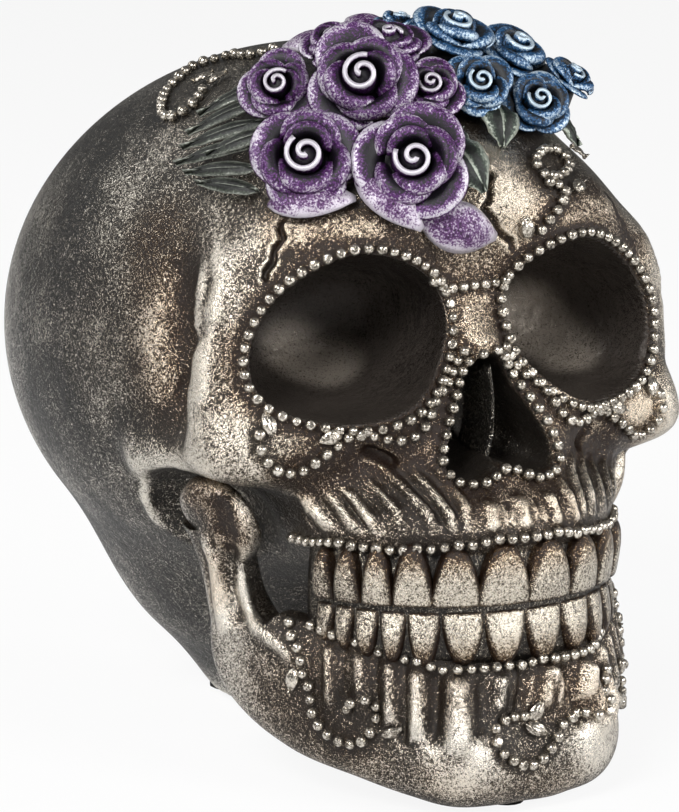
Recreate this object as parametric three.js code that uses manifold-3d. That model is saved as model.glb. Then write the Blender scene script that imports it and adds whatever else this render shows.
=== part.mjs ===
// Skull figurine: a resin cast skull with its jaw, tooth rows, bead strings, roses and leaves, on felt pads.
// Millimetres, +Z up. The face looks along -Y, and the origin is on the ground under the skull's middle.
import * as THREE from "three";
import { mergeVertices } from "three/addons/utils/BufferGeometryUtils.js";
import Module from "manifold-3d";

const wasm = await Module();
wasm.setup();

// Skull
const skullWidth = 127;
const skullLength = 174;
const skullHeight = 150;
const headPitch = 8; // degrees, face turned up
const seatGap = 0.3; // left all round between two touching pieces
const bulkBlend = 12; // how softly the large forms run into each other
const boneBlend = 9;

// Eye sockets and nose, as shares of the skull's width, length and height
const socketShares = { width: 0.32, height: 0.22, depth: 0.195 };
const socketWidth = socketShares.width * skullWidth;
const socketHeight = socketShares.height * skullHeight;
const socketDepth = socketShares.depth * skullLength;
const noseShares = { width: 0.197, height: 0.16, depth: 0.115 };
const noseWidth = noseShares.width * skullWidth;
const noseHeight = noseShares.height * skullHeight;
const noseDepth = noseShares.depth * skullLength;
const septumWidth = 2.2;
const septumSetback = 5;
const cutterOverrun = 14;

// Tooth arch, seen from above half an ellipse, and the two rows of teeth on it
const archShares = { halfWidth: 0.287, depth: 0.197, back: -0.299 };
const archHalfWidth = archShares.halfWidth * skullWidth;
const archDepth = archShares.depth * skullLength;
const archBack = archShares.back * skullLength; // where the ellipse has its middle
const biteShare = 0.282;
const biteHeight = biteShare * skullHeight;
const biteGap = 0.4;
const upperToothShares = [0.085, 0.076, 0.066, 0.054, 0.052, 0.044]; // from the midline outwards
const lowerToothShares = [0.072, 0.071, 0.054, 0.046, 0.043, 0.039, 0.039];
const crownHeightShares = { upper: 0.08, lower: 0.07 };
const toothThickness = 5.5;
const lowerArchInset = 1.6;
const gumShares = { radius: 0.043, rise: 0.097, inset: 0.008 }; // its ridge over the bite, behind the teeth
const gumRadius = gumShares.radius * skullHeight;
const gumRise = gumShares.rise * skullHeight;
const gumInset = gumShares.inset * skullWidth;

// Bead strings
const beadSize = 2.5;
const beadPitch = 3.1;
const beadClearance = 0.15; // added to the seat gap over facets
const steepestFacing = 0.55; // least share of a bead's lift that the drop may count on
const stringMargin = 1.35; // from the rim of a socket or the nose to the middle of its beads
const upperStringShares = { rise: 0.38, reach: 0.362 };
const lowerStringShares = { rise: 0.197, reach: 0.346 };

// Felt pads that the skull stands on
const padThickness = 1;
const padSides = 14;
const padWidth = 12;
const chinPadWidth = 7;

// Fineness of the round surfaces
const craniumDetail = 11;
const outlineSteps = 26;

const radians = THREE.MathUtils.degToRad;
const lerp = THREE.MathUtils.lerp;
const vec = (x = 0, y = 0, z = 0) => new THREE.Vector3(x, y, z);
const xAxis = vec(1, 0, 0);
const sides = { right: -1, left: 1 }; // the skull's own right is at -X

// A geometry with shared corners and nothing but their places.
function bare(geometry) {
  geometry.deleteAttribute("normal");
  geometry.deleteAttribute("uv");
  return mergeVertices(geometry);
}

// A place on the skull, from shares of its width, length and height.
const place = ([x, y, z]) => vec(x * skullWidth, y * skullLength, z * skullHeight);

// Rounded lumps of the cranium as shares: centre and radii, each mirrored across the middle.
const bulkShares = [
  { name: "braincase", at: [0, 0.031, 0.578], radii: [0.5, 0.479, 0.407] },
  { name: "occiput", at: [0, 0.112, 0.276], radii: [0.3, 0.28, 0.24] },
  { name: "orbital block", at: [0.21, -0.235, 0.613], radii: [0.2, 0.09, 0.2] },
  { name: "maxilla", at: [0, -0.268, 0.4], radii: [0.225, 0.165, 0.14] },
  { name: "base stub", at: [0, 0.109, 0.07], radii: [0.13, 0.14, 0.12] },
];
const boneShares = [
  { name: "brow", from: [0.1, -0.28, 0.735], to: [0.24, -0.285, 0.752], radii: [0.03, 0.038] },
  { name: "brow end", from: [0.24, -0.285, 0.752], to: [0.35, -0.255, 0.68], radii: [0.038, 0.055] },
  { name: "orbit side", from: [0.35, -0.255, 0.68], to: [0.37, -0.27, 0.53], radii: [0.052, 0.062] },
  { name: "cheekbone", from: [0.37, -0.3, 0.48], to: [0.27, -0.33, 0.475], radii: [0.055, 0.045] },
  { name: "orbit floor", from: [0.3, -0.305, 0.49], to: [0.14, -0.315, 0.505], radii: [0.04, 0.03] },
  { name: "nose side", from: [0.05, -0.22, 0.7], to: [0.085, -0.358, 0.475], radii: [0.02, 0.034] },
  { name: "nose bridge", from: [0, -0.235, 0.72], to: [0, -0.388, 0.612], radii: [0.03, 0.022] },
  { name: "nose floor", from: [0.08, -0.37, 0.455], to: [0, -0.392, 0.43], radii: [0.042, 0.045] },
  { name: "arch", from: [0.38, -0.29, 0.465], to: [0.425, -0.145, 0.445], radii: [0.05, 0.03] },
];
// What is hollowed out, with how softly its edge is rounded.
const browHollowShare = { at: [0, -0.49, 0.685], radii: [0.28, 0.13, 0.18], soft: 0.095 };
const hollowShares = [
  { name: "temple", at: [0.475, -0.225, 0.64], radii: [0.08, 0.03, 0.17], soft: 0.047 },
  { name: "under the arch", at: [0.42, -0.29, 0.28], radii: [0.15, 0.17, 0.15], soft: 0.063 },
  { name: "ear", at: [0.4, -0.2, 0.35], radii: [0.14, 0.105, 0.085], soft: 0.024 },
];

const egg = ({ at, radii, soft = 0 }) => ({
  centre: place(at),
  radii: place(radii),
  soft: soft * skullWidth,
});
const bone = ({ from, to, radii }) => ({
  start: place(from),
  end: place(to),
  startRadius: radii[0] * skullWidth,
  endRadius: radii[1] * skullWidth,
});
const bulks = bulkShares.map(egg);
const bones = boneShares.map(bone);
const browHollow = egg(browHollowShare);
const hollows = hollowShares.map(egg);

// The smaller of two distances, rounded over where they meet.
function softMin(a, b, blend) {
  const near = Math.max(blend - Math.abs(a - b), 0) / blend;
  return Math.min(a, b) - (near * near * blend) / 4;
}
const softMax = (a, b, blend) => -softMin(-a, -b, blend);

// Distance from a point to an ellipsoid that leans with the head, near enough for blending.
function eggDistance(point, { centre, radii }, pitch = 0) {
  const local = point.clone().sub(centre).applyAxisAngle(xAxis, radians(pitch));
  const near = local.clone().divide(radii).length();
  const steep = local.divide(radii).divide(radii).length();
  return steep > 0 ? (near * (near - 1)) / steep : -radii.z;
}

// Distance from a point to a round bone that tapers from start to end.
function boneDistance(point, { start, end, startRadius, endRadius }) {
  const run = end.clone().sub(start);
  const along = point.clone().sub(start).dot(run) / run.lengthSq();
  const share = THREE.MathUtils.clamp(along, 0, 1);
  return point.distanceTo(start.clone().addScaledVector(run, share)) - lerp(startRadius, endRadius, share);
}

// Distance from a point to the cranium's skin, below zero inside.
function craniumDistance(point) {
  const half = vec(Math.abs(point.x), point.y, point.z);
  const [braincase, ...others] = bulks;
  let distance = eggDistance(half, braincase, headPitch);
  for (const lump of others) distance = softMin(distance, eggDistance(half, lump), bulkBlend);
  distance = softMax(distance, -eggDistance(half, browHollow), browHollow.soft);
  for (const ridge of bones) distance = softMin(distance, boneDistance(half, ridge), boneBlend);
  distance = softMin(distance, gumDistance(half), boneBlend);
  for (const hollow of hollows) distance = softMax(distance, -eggDistance(half, hollow), hollow.soft);
  return distance;
}

// A closed skin round the heart of the skull: each direction runs inwards until it meets the surface.
const heartShare = [0, -0.02, 0.56];
const faceLean = vec(0, -0.42, -0.15); // draws the fine facets towards the face
function skinOf(distanceTo, detail, outset = 0) {
  const skin = bare(new THREE.IcosahedronGeometry(1, detail));
  const spots = skin.getAttribute("position");
  const heart = place(heartShare);
  for (let i = 0; i < spots.count; i++) {
    const ray = vec().fromBufferAttribute(spots, i).add(faceLean).normalize();
    const spot = surfaceAlong(heart, ray, distanceTo, outset);
    spots.setXYZ(i, spot.x, spot.y, spot.z);
  }
  return skin;
}
const strideShare = 0.7; // of the distance left, taken at each step inwards
const walkSteps = 200;
const nearEnough = 0.001;
function surfaceAlong(origin, ray, distanceTo, outset = 0) {
  let reach = skullLength;
  for (let step = 0; step < walkSteps; step++) {
    const gap = distanceTo(origin.clone().addScaledVector(ray, reach)) - outset;
    if (Math.abs(gap) < nearEnough) break;
    reach -= gap * strideShare;
  }
  return origin.clone().addScaledVector(ray, reach);
}

// A closed solid through rings of points, each end closed to the middle of its ring.
function loft(rings) {
  const count = rings[0].length;
  const spots = rings.flat();
  const faces = [];
  for (let ring = 0; ring < rings.length - 1; ring++)
    for (let i = 0; i < count; i++) {
      const a = ring * count + i;
      const b = ring * count + ((i + 1) % count);
      faces.push(a, b, b + count, a, b + count, a + count);
    }
  const cap = (ring, flip) => {
    const middle = rings[ring].reduce((sum, spot) => sum.add(spot), vec()).divideScalar(count);
    const centre = spots.push(middle) - 1;
    for (let i = 0; i < count; i++) {
      const a = ring * count + i;
      const b = ring * count + ((i + 1) % count);
      faces.push(centre, ...(flip ? [b, a] : [a, b]));
    }
  };
  cap(0, true);
  cap(rings.length - 1, false);
  return solidOf(spots.flatMap((spot) => spot.toArray()), faces);
}

// A manifold solid with its faces turned outwards.
function solidOf(positions, faces) {
  const build = (triangles) =>
    new wasm.Manifold(
      new wasm.Mesh({
        numProp: 3,
        vertProperties: new Float32Array(positions),
        triVerts: new Uint32Array(triangles),
      }),
    );
  const solid = build(faces);
  if (solid.volume() > 0) return solid;
  const turned = faces.slice();
  for (let i = 0; i < turned.length; i += 3) [turned[i + 1], turned[i + 2]] = [turned[i + 2], turned[i + 1]];
  return build(turned);
}
const solidOfGeometry = (geometry) =>
  solidOf(geometry.getAttribute("position").array, Array.from(geometry.index.array));

// Outline of a socket seen from the front, as shares of its size from its centre.
const socketOutlineShares = [
  [-0.49, 0.15], [-0.4, 0.34], [-0.2, 0.47], [0, 0.5], [0.2, 0.41], [0.39, 0.23], [0.495, 0],
  [0.5, -0.24], [0.39, -0.42], [0.15, -0.5], [-0.05, -0.5], [-0.24, -0.42], [-0.39, -0.26], [-0.48, -0.06],
];
const socketCentreShare = [0.209, -0.345, 0.632];
const socketLean = 9; // degrees, each socket faces outwards
// Rings of the bowl: depth from the rim and size, as shares of the socket's depth and outline.
const bowlShares = [
  [-0.4, 1.02], [0, 1], [0.2, 0.97], [0.5, 0.86], [0.78, 0.62], [0.94, 0.34],
];

function closedOutline(shares, width, height, steps) {
  const curve = new THREE.CatmullRomCurve3(
    shares.map(([x, z]) => vec(x * width, 0, z * height)),
    true,
  );
  return curve.getPoints(steps).slice(0, steps);
}

function socketRing(side, depth, size) {
  const outline = closedOutline(socketOutlineShares, socketWidth * size, socketHeight * size, outlineSteps);
  const centre = place(socketCentreShare);
  const lean = radians(socketLean);
  return outline.map((spot) => {
    const turned = spot.clone().setY(depth).applyAxisAngle(vec(0, 0, 1), lean);
    return turned.add(centre).multiply(vec(side, 1, 1));
  });
}
function socketCutter(side) {
  return loft(bowlShares.map(([depth, size]) => socketRing(side, depth * socketDepth, size)));
}

// Outline of the nose opening, as shares of its width and height from the middle of its floor.
const noseOutlineShares = [
  [0, 1], [0.14, 0.9], [0.27, 0.66], [0.41, 0.42], [0.5, 0.17], [0.46, 0.04], [0.33, 0], [0.17, 0.02],
  [0, 0.12], [-0.17, 0.02], [-0.33, 0], [-0.46, 0.04], [-0.5, 0.17], [-0.41, 0.42], [-0.27, 0.66],
  [-0.14, 0.9],
];
const noseFloorShare = [0, -0.424, 0.443];
const noseMouthShare = 0.96; // size at the septum's edge, of the opening
const noseHollowShares = [[0, 0.97], [0.5, 0.85], [1, 0.6]]; // depth and size of the hollow behind it
function noseCutter() {
  const floor = place(noseFloorShare);
  const ring = (depth, size) =>
    closedOutline(noseOutlineShares, noseWidth * size, noseHeight * size, outlineSteps).map((spot) =>
      spot.add(floor).add(vec(0, depth, ((1 - size) * noseHeight) / 2)),
    );
  const whole = loft([ring(-cutterOverrun, 1), ring(0, 1), ring(septumSetback, noseMouthShare)]);
  const deep = loft(noseHollowShares.map(([depth, size]) => ring(depth * noseDepth, size)));
  const septum = new THREE.BoxGeometry(septumWidth, noseDepth * 2, noseHeight * 2);
  septum.translate(0, floor.y + septumSetback + noseDepth, floor.z + noseHeight / 2);
  return whole.add(deep.subtract(solidOfGeometry(bare(septum))));
}

// Jaw stations from the condyle down the ramus, round the angle and forward to the chin, as shares: the
// middle of the plate, the way across it to its outer edge, then half its breadth and thickness.
const jawShares = [
  { at: [0.388, -0.178, 0.402], across: [0.2, 1, 0.1], half: 0.034, thick: 0.036 },
  { at: [0.358, -0.213, 0.368], across: [0.25, 1, 0.1], half: 0.064, thick: 0.034 },
  { at: [0.335, -0.224, 0.315], across: [0.3, 1, 0], half: 0.062, thick: 0.034 },
  { at: [0.318, -0.232, 0.245], across: [0.3, 1, -0.1], half: 0.06, thick: 0.04 },
  { at: [0.302, -0.25, 0.185], across: [0.2, 0.8, -0.6], half: 0.096, thick: 0.045 },
  { at: [0.255, -0.32, 0.153], across: [0.15, 0.2, -1], half: 0.11, thick: 0.05 },
  { at: [0.192, -0.388, 0.135], across: [0.1, 0, -1], half: 0.115, thick: 0.055 },
  { at: [0.122, -0.437, 0.118], across: [0, -0.12, -1], half: 0.12, thick: 0.06 },
  { at: [0.055, -0.458, 0.11], across: [0, -0.15, -1], half: 0.12, thick: 0.065 },
  { at: [0, -0.461, 0.11], across: [0, -0.15, -1], half: 0.12, thick: 0.065 },
];
// Two lumps under the chin, and the horn of each ramus in front of its condyle.
const chinLumpShare = { at: [0.137, -0.443, 0.085], radii: [0.13, 0.043, 0.058] };
const hornShare = { from: [0.336, -0.26, 0.415], to: [0.322, -0.25, 0.27], radii: [0.012, 0.03] };
const lumpSides = 14;
const jawSteps = 40;
const jawSides = 10;
const jawSquareness = 0.7;

function jawRings(outset = 0) {
  const stations = [...jawShares, ...jawShares.slice(0, -1).reverse().map(mirrorStation)];
  const curveOf = (read) => new THREE.CatmullRomCurve3(stations.map(read));
  const middle = curveOf(({ at }) => place(at));
  const across = curveOf(({ across }) => vec(...across));
  const size = curveOf(({ half, thick }) => vec(half * skullWidth, thick * skullWidth, 0));
  return Array.from({ length: jawSteps + 1 }, (_, step) => {
    const share = step / jawSteps;
    const tangent = middle.getTangent(share);
    const wide = across.getPoint(share).projectOnPlane(tangent).normalize();
    const thin = wide.clone().cross(tangent);
    const half = size.getPoint(share);
    return ringPoints(jawSides, jawSquareness).map(([u, v]) =>
      middle
        .getPoint(share)
        .addScaledVector(wide, u * (half.x + outset))
        .addScaledVector(thin, v * (half.y + outset)),
    );
  });
}
const mirrorStation = ({ at: [x, y, z], across: [u, v, w], ...size }) => ({
  at: [-x, y, z],
  across: [-u, v, w],
  ...size,
});

function chinLump(side, outset) {
  const { centre, radii } = egg(chinLumpShare);
  const lump = new THREE.SphereGeometry(1, lumpSides, lumpSides / 2);
  lump.scale(radii.x + outset, radii.y + outset, radii.z + outset);
  lump.translate(side * centre.x, centre.y, centre.z);
  return solidOfGeometry(bare(lump));
}
function horn(side, outset) {
  const { start, end, startRadius, endRadius } = bone(hornShare);
  const along = end.clone().sub(start).normalize();
  const wide = xAxis.clone().projectOnPlane(along).normalize();
  const thin = along.clone().cross(wide);
  const ring = (middle, radius) =>
    ringPoints(jawSides, 1).map(([u, v]) =>
      middle
        .clone()
        .addScaledVector(wide, u * radius)
        .addScaledVector(thin, v * radius)
        .multiply(vec(side, 1, 1)),
    );
  return loft([ring(start, startRadius + outset), ring(end, endRadius + outset)]);
}
function jawSolid(outset = 0) {
  let solid = loft(jawRings(outset));
  for (const side of Object.values(sides)) solid = solid.add(chinLump(side, outset)).add(horn(side, outset));
  return solid;
}

// Points of a unit ring, squarer than a circle where the power is under 1.
function ringPoints(count, power) {
  return Array.from({ length: count }, (_, i) => {
    const angle = (2 * Math.PI * i) / count;
    const squared = (value) => Math.sign(value) * Math.abs(value) ** power;
    return [squared(Math.cos(angle)), squared(Math.sin(angle))];
  });
}

// A spot on the tooth arch: its place, the way along and the way out, at a length from the midline.
const archSteps = 60; // short chords measured along a quarter of the ellipse
function archSpot(length, inset = 0) {
  const halfWidth = archHalfWidth - inset;
  const depth = archDepth - inset;
  let angle = 0;
  let left = Math.abs(length);
  const turn = Math.PI / 2 / archSteps;
  while (left > 0) {
    const stride = Math.hypot(halfWidth * Math.cos(angle), depth * Math.sin(angle)) * turn;
    angle += turn * Math.min(1, left / stride);
    left -= stride;
  }
  const side = Math.sign(length) || 1;
  const out = vec(side * Math.sin(angle) * depth, -Math.cos(angle) * halfWidth, 0).normalize();
  return {
    at: vec(side * halfWidth * Math.sin(angle), archBack - depth * Math.cos(angle), 0),
    out,
    along: vec(0, 0, 1).cross(out),
  };
}

// Distance from a point of the left half to the gum ridge that carries the upper teeth.
const gumOpeningShare = 0.6; // behind the arch's middle the ridge runs back this much straighter
function gumDistance(point) {
  const away = vec(point.x / archHalfWidth, (point.y - archBack) / archDepth, 0);
  if (away.y > 0) away.y *= gumOpeningShare;
  const flat = (away.length() - 1) * Math.min(archHalfWidth, archDepth) + gumRadius + gumInset;
  return Math.hypot(Math.max(flat, -gumRadius), point.z - biteHeight - gumRise) - gumRadius;
}

// Rings of a crown from its root to its biting edge: height, width and thickness as shares.
const crownShares = [
  [1.02, 0.72, 0.7], [0.82, 0.92, 0.95], [0.25, 1.02, 1], [0.02, 0.92, 0.65],
];
const toothSides = 6;
const toothSquareness = 0.65;
function crown({ at, out, along }, width, height, base, up) {
  const rings = crownShares.map(([rise, wide, thick]) =>
    ringPoints(toothSides, toothSquareness).map(([u, v]) =>
      at
        .clone()
        .addScaledVector(along, (u * wide * width) / 2)
        .addScaledVector(out, ((v * thick - 1) * toothThickness) / 2)
        .setZ(base + up * rise * height),
    ),
  );
  return loft(rings);
}

function toothRow(widths, height, base, up, inset) {
  const crowns = [];
  for (const side of Object.values(sides)) {
    let reach = 0;
    for (const width of widths) {
      crowns.push(crown(archSpot(side * (reach + width / 2), inset), width, height, base, up));
      reach += width;
    }
  }
  return crowns.reduce((row, tooth) => row.add(tooth), archBand(widths, height, base, up, inset));
}

// A band behind the crowns that joins a row: heights by the crown's, depths by its thickness.
const bandShares = { from: 0.35, to: 0.95, front: 0.5, back: 0.9 };
const bandSteps = 16;
function archBand(widths, height, base, up, inset) {
  const reach = widths.reduce((sum, width) => sum + width) - widths.at(-1) / 2;
  const { from, to, front, back } = bandShares;
  const rings = Array.from({ length: bandSteps + 1 }, (_, step) => {
    const { at, out } = archSpot(lerp(-reach, reach, step / bandSteps), inset);
    const corner = (depth, rise) =>
      at.clone().addScaledVector(out, -depth * toothThickness).setZ(base + up * rise * height);
    return [corner(front, from), corner(front, to), corner(back, to), corner(back, from)];
  });
  return loft(rings);
}

// Lays a spot on a solid's skin and lifts it along the skin's normal there. The spot moves the way given by
// drop until it meets the skin, or to the nearest skin where there is no drop.
function settlerOn(solid, drop) {
  const { vertProperties, triVerts } = solid.getMesh();
  const count = vertProperties.length / 3;
  const corners = Array.from({ length: count }, (_, i) => vec().fromArray(vertProperties, i * 3));
  const faces = Array.from({ length: triVerts.length / 3 }, (_, i) => triVerts.slice(i * 3, i * 3 + 3));
  const normals = cornerNormals(corners, faces);
  const triangle = new THREE.Triangle();
  const touch = vec();
  const ray = new THREE.Ray();
  return (spot, lift) => {
    let best = { distance: Infinity };
    if (drop) ray.set(spot.clone().addScaledVector(drop, -skullLength), drop);
    for (const face of faces) {
      triangle.set(corners[face[0]], corners[face[1]], corners[face[2]]);
      if (drop && !ray.intersectTriangle(triangle.a, triangle.b, triangle.c, true, touch)) continue;
      if (!drop) triangle.closestPointToPoint(spot, touch);
      const distance = touch.distanceTo(drop ? ray.origin : spot);
      if (distance < best.distance) best = { distance, face, at: touch.clone() };
    }
    const normal = blendedNormal(best.at, best.face, corners, normals);
    if (!drop) return { at: best.at.addScaledVector(normal, lift), normal };
    const facing = Math.max(-normal.dot(drop), steepestFacing);
    return { at: best.at.addScaledVector(drop, -lift / facing), normal };
  };
}
function cornerNormals(corners, faces) {
  const normals = corners.map(() => vec());
  for (const face of faces) {
    const [a, b, c] = [...face].map((i) => corners[i]);
    const areaNormal = b.clone().sub(a).cross(c.clone().sub(a));
    for (const i of face) normals[i].add(areaNormal);
  }
  return normals.map((normal) => normal.normalize());
}
function blendedNormal(spot, [a, b, c], corners, normals) {
  const shares = THREE.Triangle.getBarycoord(spot, corners[a], corners[b], corners[c], vec());
  return vec()
    .addScaledVector(normals[a], shares.x)
    .addScaledVector(normals[b], shares.y)
    .addScaledVector(normals[c], shares.z)
    .normalize();
}

// A string of beads laid along a path: each bead a wide ring, each link between two beads a narrow one.
const linkShare = 0.4;
const beadSides = 4;
function beadString(path, settle, closed = false) {
  const beads = Math.round(path.getLength() / beadPitch);
  const count = closed ? beads * 2 : beads * 2 + 1;
  const lift = beadSize / 2 + seatGap + beadClearance;
  const spots = Array.from({ length: count }, (_, i) => settle(path.getPointAt(i / (beads * 2)), lift));
  const rings = spots.map(({ at, normal }, i) => {
    const next = spots[closed ? (i + 1) % count : Math.min(i + 1, count - 1)];
    const last = spots[closed ? (i + count - 1) % count : Math.max(i - 1, 0)];
    const along = next.at.clone().sub(last.at).normalize();
    const rise = normal.clone().projectOnPlane(along).normalize();
    const across = rise.clone().cross(along);
    const radius = (beadSize / 2) * (i % 2 ? linkShare : 1);
    return ringPoints(beadSides, 1).map(([u, v]) =>
      at.clone().addScaledVector(rise, u * radius).addScaledVector(across, v * radius),
    );
  });
  return closed ? hoop(rings) : loft(rings);
}
const openPath = (spots) => new THREE.CatmullRomCurve3(spots, false, "centripetal");
const closedPath = (spots) => new THREE.CatmullRomCurve3(spots, true, "centripetal");
const routeOf = (shares, side = 1) =>
  openPath(shares.map((share) => place(share).multiply(vec(side, 1, 1))));

// A closed hoop through rings of points, the last joined to the first.
function hoop(rings) {
  const count = rings[0].length;
  const faces = [];
  for (let ring = 0; ring < rings.length; ring++)
    for (let i = 0; i < count; i++) {
      const next = (ring + 1) % rings.length;
      const [a, b] = [ring * count + i, ring * count + ((i + 1) % count)];
      const [c, d] = [next * count + ((i + 1) % count), next * count + i];
      faces.push(a, b, c, a, c, d);
    }
  return solidOf(rings.flat().flatMap((spot) => spot.toArray()), faces);
}

// Routes of the strings that curl over the skull, as shares. The side ones are drawn on the left.
const cheekRouteShares = [
  [0.085, -0.42, 0.545], [0.105, -0.42, 0.52], [0.13, -0.42, 0.5], [0.165, -0.41, 0.49],
  [0.21, -0.4, 0.487], [0.27, -0.4, 0.485], [0.305, -0.4, 0.473], [0.34, -0.39, 0.466],
  [0.38, -0.385, 0.476], [0.395, -0.38, 0.508],
];
const crownRouteShares = [
  [-0.16, -0.1, 0.98], [-0.22, -0.04, 0.97], [-0.29, -0.03, 0.94], [-0.33, -0.04, 0.9],
  [-0.34, -0.08, 0.9], [-0.3, -0.1, 0.93],
];
const browRouteShares = [
  [0.14, -0.34, 0.86], [0.19, -0.33, 0.84], [0.18, -0.36, 0.82], [0.13, -0.37, 0.835], [0.14, -0.38, 0.81],
  [0.17, -0.38, 0.8], [0.13, -0.41, 0.785],
];
const jawRouteShares = [
  [0.28, -0.3, 0.36], [0.285, -0.3, 0.31], [0.285, -0.32, 0.26], [0.29, -0.35, 0.21], [0.295, -0.37, 0.155],
  [0.28, -0.39, 0.12], [0.25, -0.415, 0.105], [0.22, -0.435, 0.115], [0.23, -0.435, 0.15],
  [0.255, -0.41, 0.15],
];
const chinRouteShares = [
  [0.2, -0.46, 0.15], [0.22, -0.46, 0.12], [0.15, -0.48, 0.12], [0.07, -0.5, 0.125], [0.03, -0.51, 0.09],
  [-0.02, -0.51, 0.07], [-0.065, -0.5, 0.095], [-0.05, -0.51, 0.135], [-0.015, -0.51, 0.135],
];

function eyeBeads(side, settle) {
  const grown = 1 + (2 * stringMargin) / socketWidth;
  return beadString(closedPath(socketRing(side, 0, grown)), settle, true);
}
function noseBeads(settle) {
  const floor = place(noseFloorShare);
  const [width, height] = [noseWidth + 2 * stringMargin, noseHeight + 2 * stringMargin];
  const outline = closedOutline(noseOutlineShares, width, height, outlineSteps);
  const path = closedPath(outline.map((spot) => spot.add(floor).add(vec(0, 0, -stringMargin))));
  return beadString(path, settle, true);
}
const gumPathSteps = 12;
function gumBeads({ rise, reach }, settle) {
  const spots = Array.from({ length: gumPathSteps + 1 }, (_, i) => {
    const { at, out } = archSpot(lerp(-reach, reach, i / gumPathSteps) * skullWidth);
    return at.addScaledVector(out, beadSize).setZ(rise * skullHeight);
  });
  return beadString(openPath(spots), settle);
}

// Rings of a rose from its seat out to its petals and in to its bud: reach and rise as shares of its radius,
// then how deep its petals wave.
const roseShares = [
  [0.6, -0.3, 0], [0.9, 0.1, 0.08], [1, 0.45, 0.1], [0.74, 0.36, 0.08], [0.66, 0.75, 0.1], [0.4, 0.55, 0.05],
  [0.26, 0.9, 0],
];
const roseSides = 10;
const petalCount = 5;
const petalTwist = 0.45; // radians from one ring to the next
function rose(radius, stand) {
  return roseShares.map(([reach, rise, wave], ring) =>
    Array.from({ length: roseSides }, (_, i) => {
      const angle = (2 * Math.PI * i) / roseSides + ring * petalTwist;
      const out = radius * reach * (1 + wave * Math.cos(petalCount * angle));
      const height = radius * (rise - (wave / 2) * Math.sin(petalCount * angle)) + (ring ? stand : 0);
      return vec(out * Math.cos(angle), out * Math.sin(angle), height);
    }),
  );
}

// Roses: where each sits, its width across the petals and how far it stands off the skull, as shares.
const rosesAsShares = [
  { name: "purple_rose_1", share: [-0.15, -0.28, 0.97], width: 0.173, stand: 0.024 },
  { name: "purple_rose_2", share: [-0.27, -0.32, 0.87], width: 0.165, stand: 0.016 },
  { name: "purple_rose_3", share: [-0.12, -0.38, 0.86], width: 0.165, stand: 0.016 },
  { name: "purple_rose_4", share: [-0.26, -0.21, 0.95], width: 0.118, stand: 0.016 },
  { name: "purple_rose_5", share: [-0.02, -0.3, 0.96], width: 0.102, stand: 0.016 },
  { name: "purple_rose_6", share: [-0.04, -0.2, 1.01], width: 0.126, stand: 0.024 },
  { name: "purple_rose_7", share: [-0.16, -0.15, 1], width: 0.118, stand: 0.024 },
  { name: "blue_rose_1", share: [0.095, -0.31, 0.945], width: 0.1, stand: 0.016 },
  { name: "blue_rose_2", share: [0.195, -0.29, 0.915], width: 0.106, stand: 0.024 },
  { name: "blue_rose_3", share: [0.11, -0.2, 1], width: 0.134, stand: 0.039 },
  { name: "blue_rose_4", share: [0.24, -0.17, 0.97], width: 0.134, stand: 0.039 },
  { name: "blue_rose_5", share: [0.31, -0.21, 0.925], width: 0.102, stand: 0.039 },
  { name: "blue_rose_6", share: [0.05, -0.12, 1.02], width: 0.079, stand: 0.039 },
];
function seated(rings, frame) {
  return loft(rings.map((ring) => ring.map((spot) => spot.clone().applyMatrix4(frame))));
}
// Places a shape on the skin, its own +Z along the normal and its +X turned by spin about it.
function frameOn(spot, settle, spin = 0, lift = 0) {
  const { at, normal } = settle(spot, lift);
  const turn = new THREE.Quaternion().setFromUnitVectors(vec(0, 0, 1), normal);
  turn.multiply(new THREE.Quaternion().setFromAxisAngle(vec(0, 0, 1), spin));
  return new THREE.Matrix4().compose(at, turn, vec(1, 1, 1));
}

// Leaves and loose petals: place, way its tip points in degrees, length and width as shares of the skull's.
const leavesAsShares = [
  { name: "leaf_1", share: [0.03, -0.35, 0.9], turn: 200, length: 0.087, width: 0.047 },
  { name: "leaf_2", share: [0.105, -0.35, 0.88], turn: 320, length: 0.071, width: 0.039 },
  { name: "leaf_3", share: [-0.02, -0.39, 0.86], turn: 250, length: 0.102, width: 0.063 },
  { name: "leaf_4", share: [0.31, -0.31, 0.86], turn: 300, length: 0.079, width: 0.047 },
  { name: "leaf_5", share: [0.36, -0.22, 0.87], turn: 10, length: 0.079, width: 0.047 },
  { name: "petal_1", share: [-0.075, -0.42, 0.78], turn: 215, length: 0.134, width: 0.063 },
  { name: "petal_2", share: [-0.2, -0.41, 0.825], turn: 180, length: 0.126, width: 0.063 },
];
const leafSteps = 5;
const leafThickShare = 0.22;
const leafArchShare = 0.12;
const leafTipShare = 0.06; // how far the end rings keep from the very tips
const leafRoundness = 0.7;
function blade(length, width) {
  return Array.from({ length: leafSteps }, (_, step) => {
    const share = lerp(leafTipShare, 1 - leafTipShare, step / (leafSteps - 1));
    const half = (width / 2) * Math.sin(Math.PI * share) ** leafRoundness;
    const thick = leafThickShare * half + seatGap;
    const rise = thick + length * leafArchShare * Math.sin(Math.PI * share);
    const x = length * (share - 0.5);
    const foot = rise - thick;
    return [vec(x, half, foot), vec(x, 0, rise + thick), vec(x, -half, foot), vec(x, 0, foot)];
  });
}

const figure = new THREE.Group();
function addPiece(name, solid, look) {
  const mesh = solid.getMesh();
  const geometry = new THREE.BufferGeometry();
  geometry.setAttribute("position", new THREE.BufferAttribute(new Float32Array(mesh.vertProperties), 3));
  geometry.setIndex(new THREE.BufferAttribute(new Uint32Array(mesh.triVerts), 1));
  geometry.computeVertexNormals();
  const piece = new THREE.Mesh(geometry, new THREE.MeshStandardMaterial(look));
  piece.name = name;
  figure.add(piece);
  return piece;
}

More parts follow.
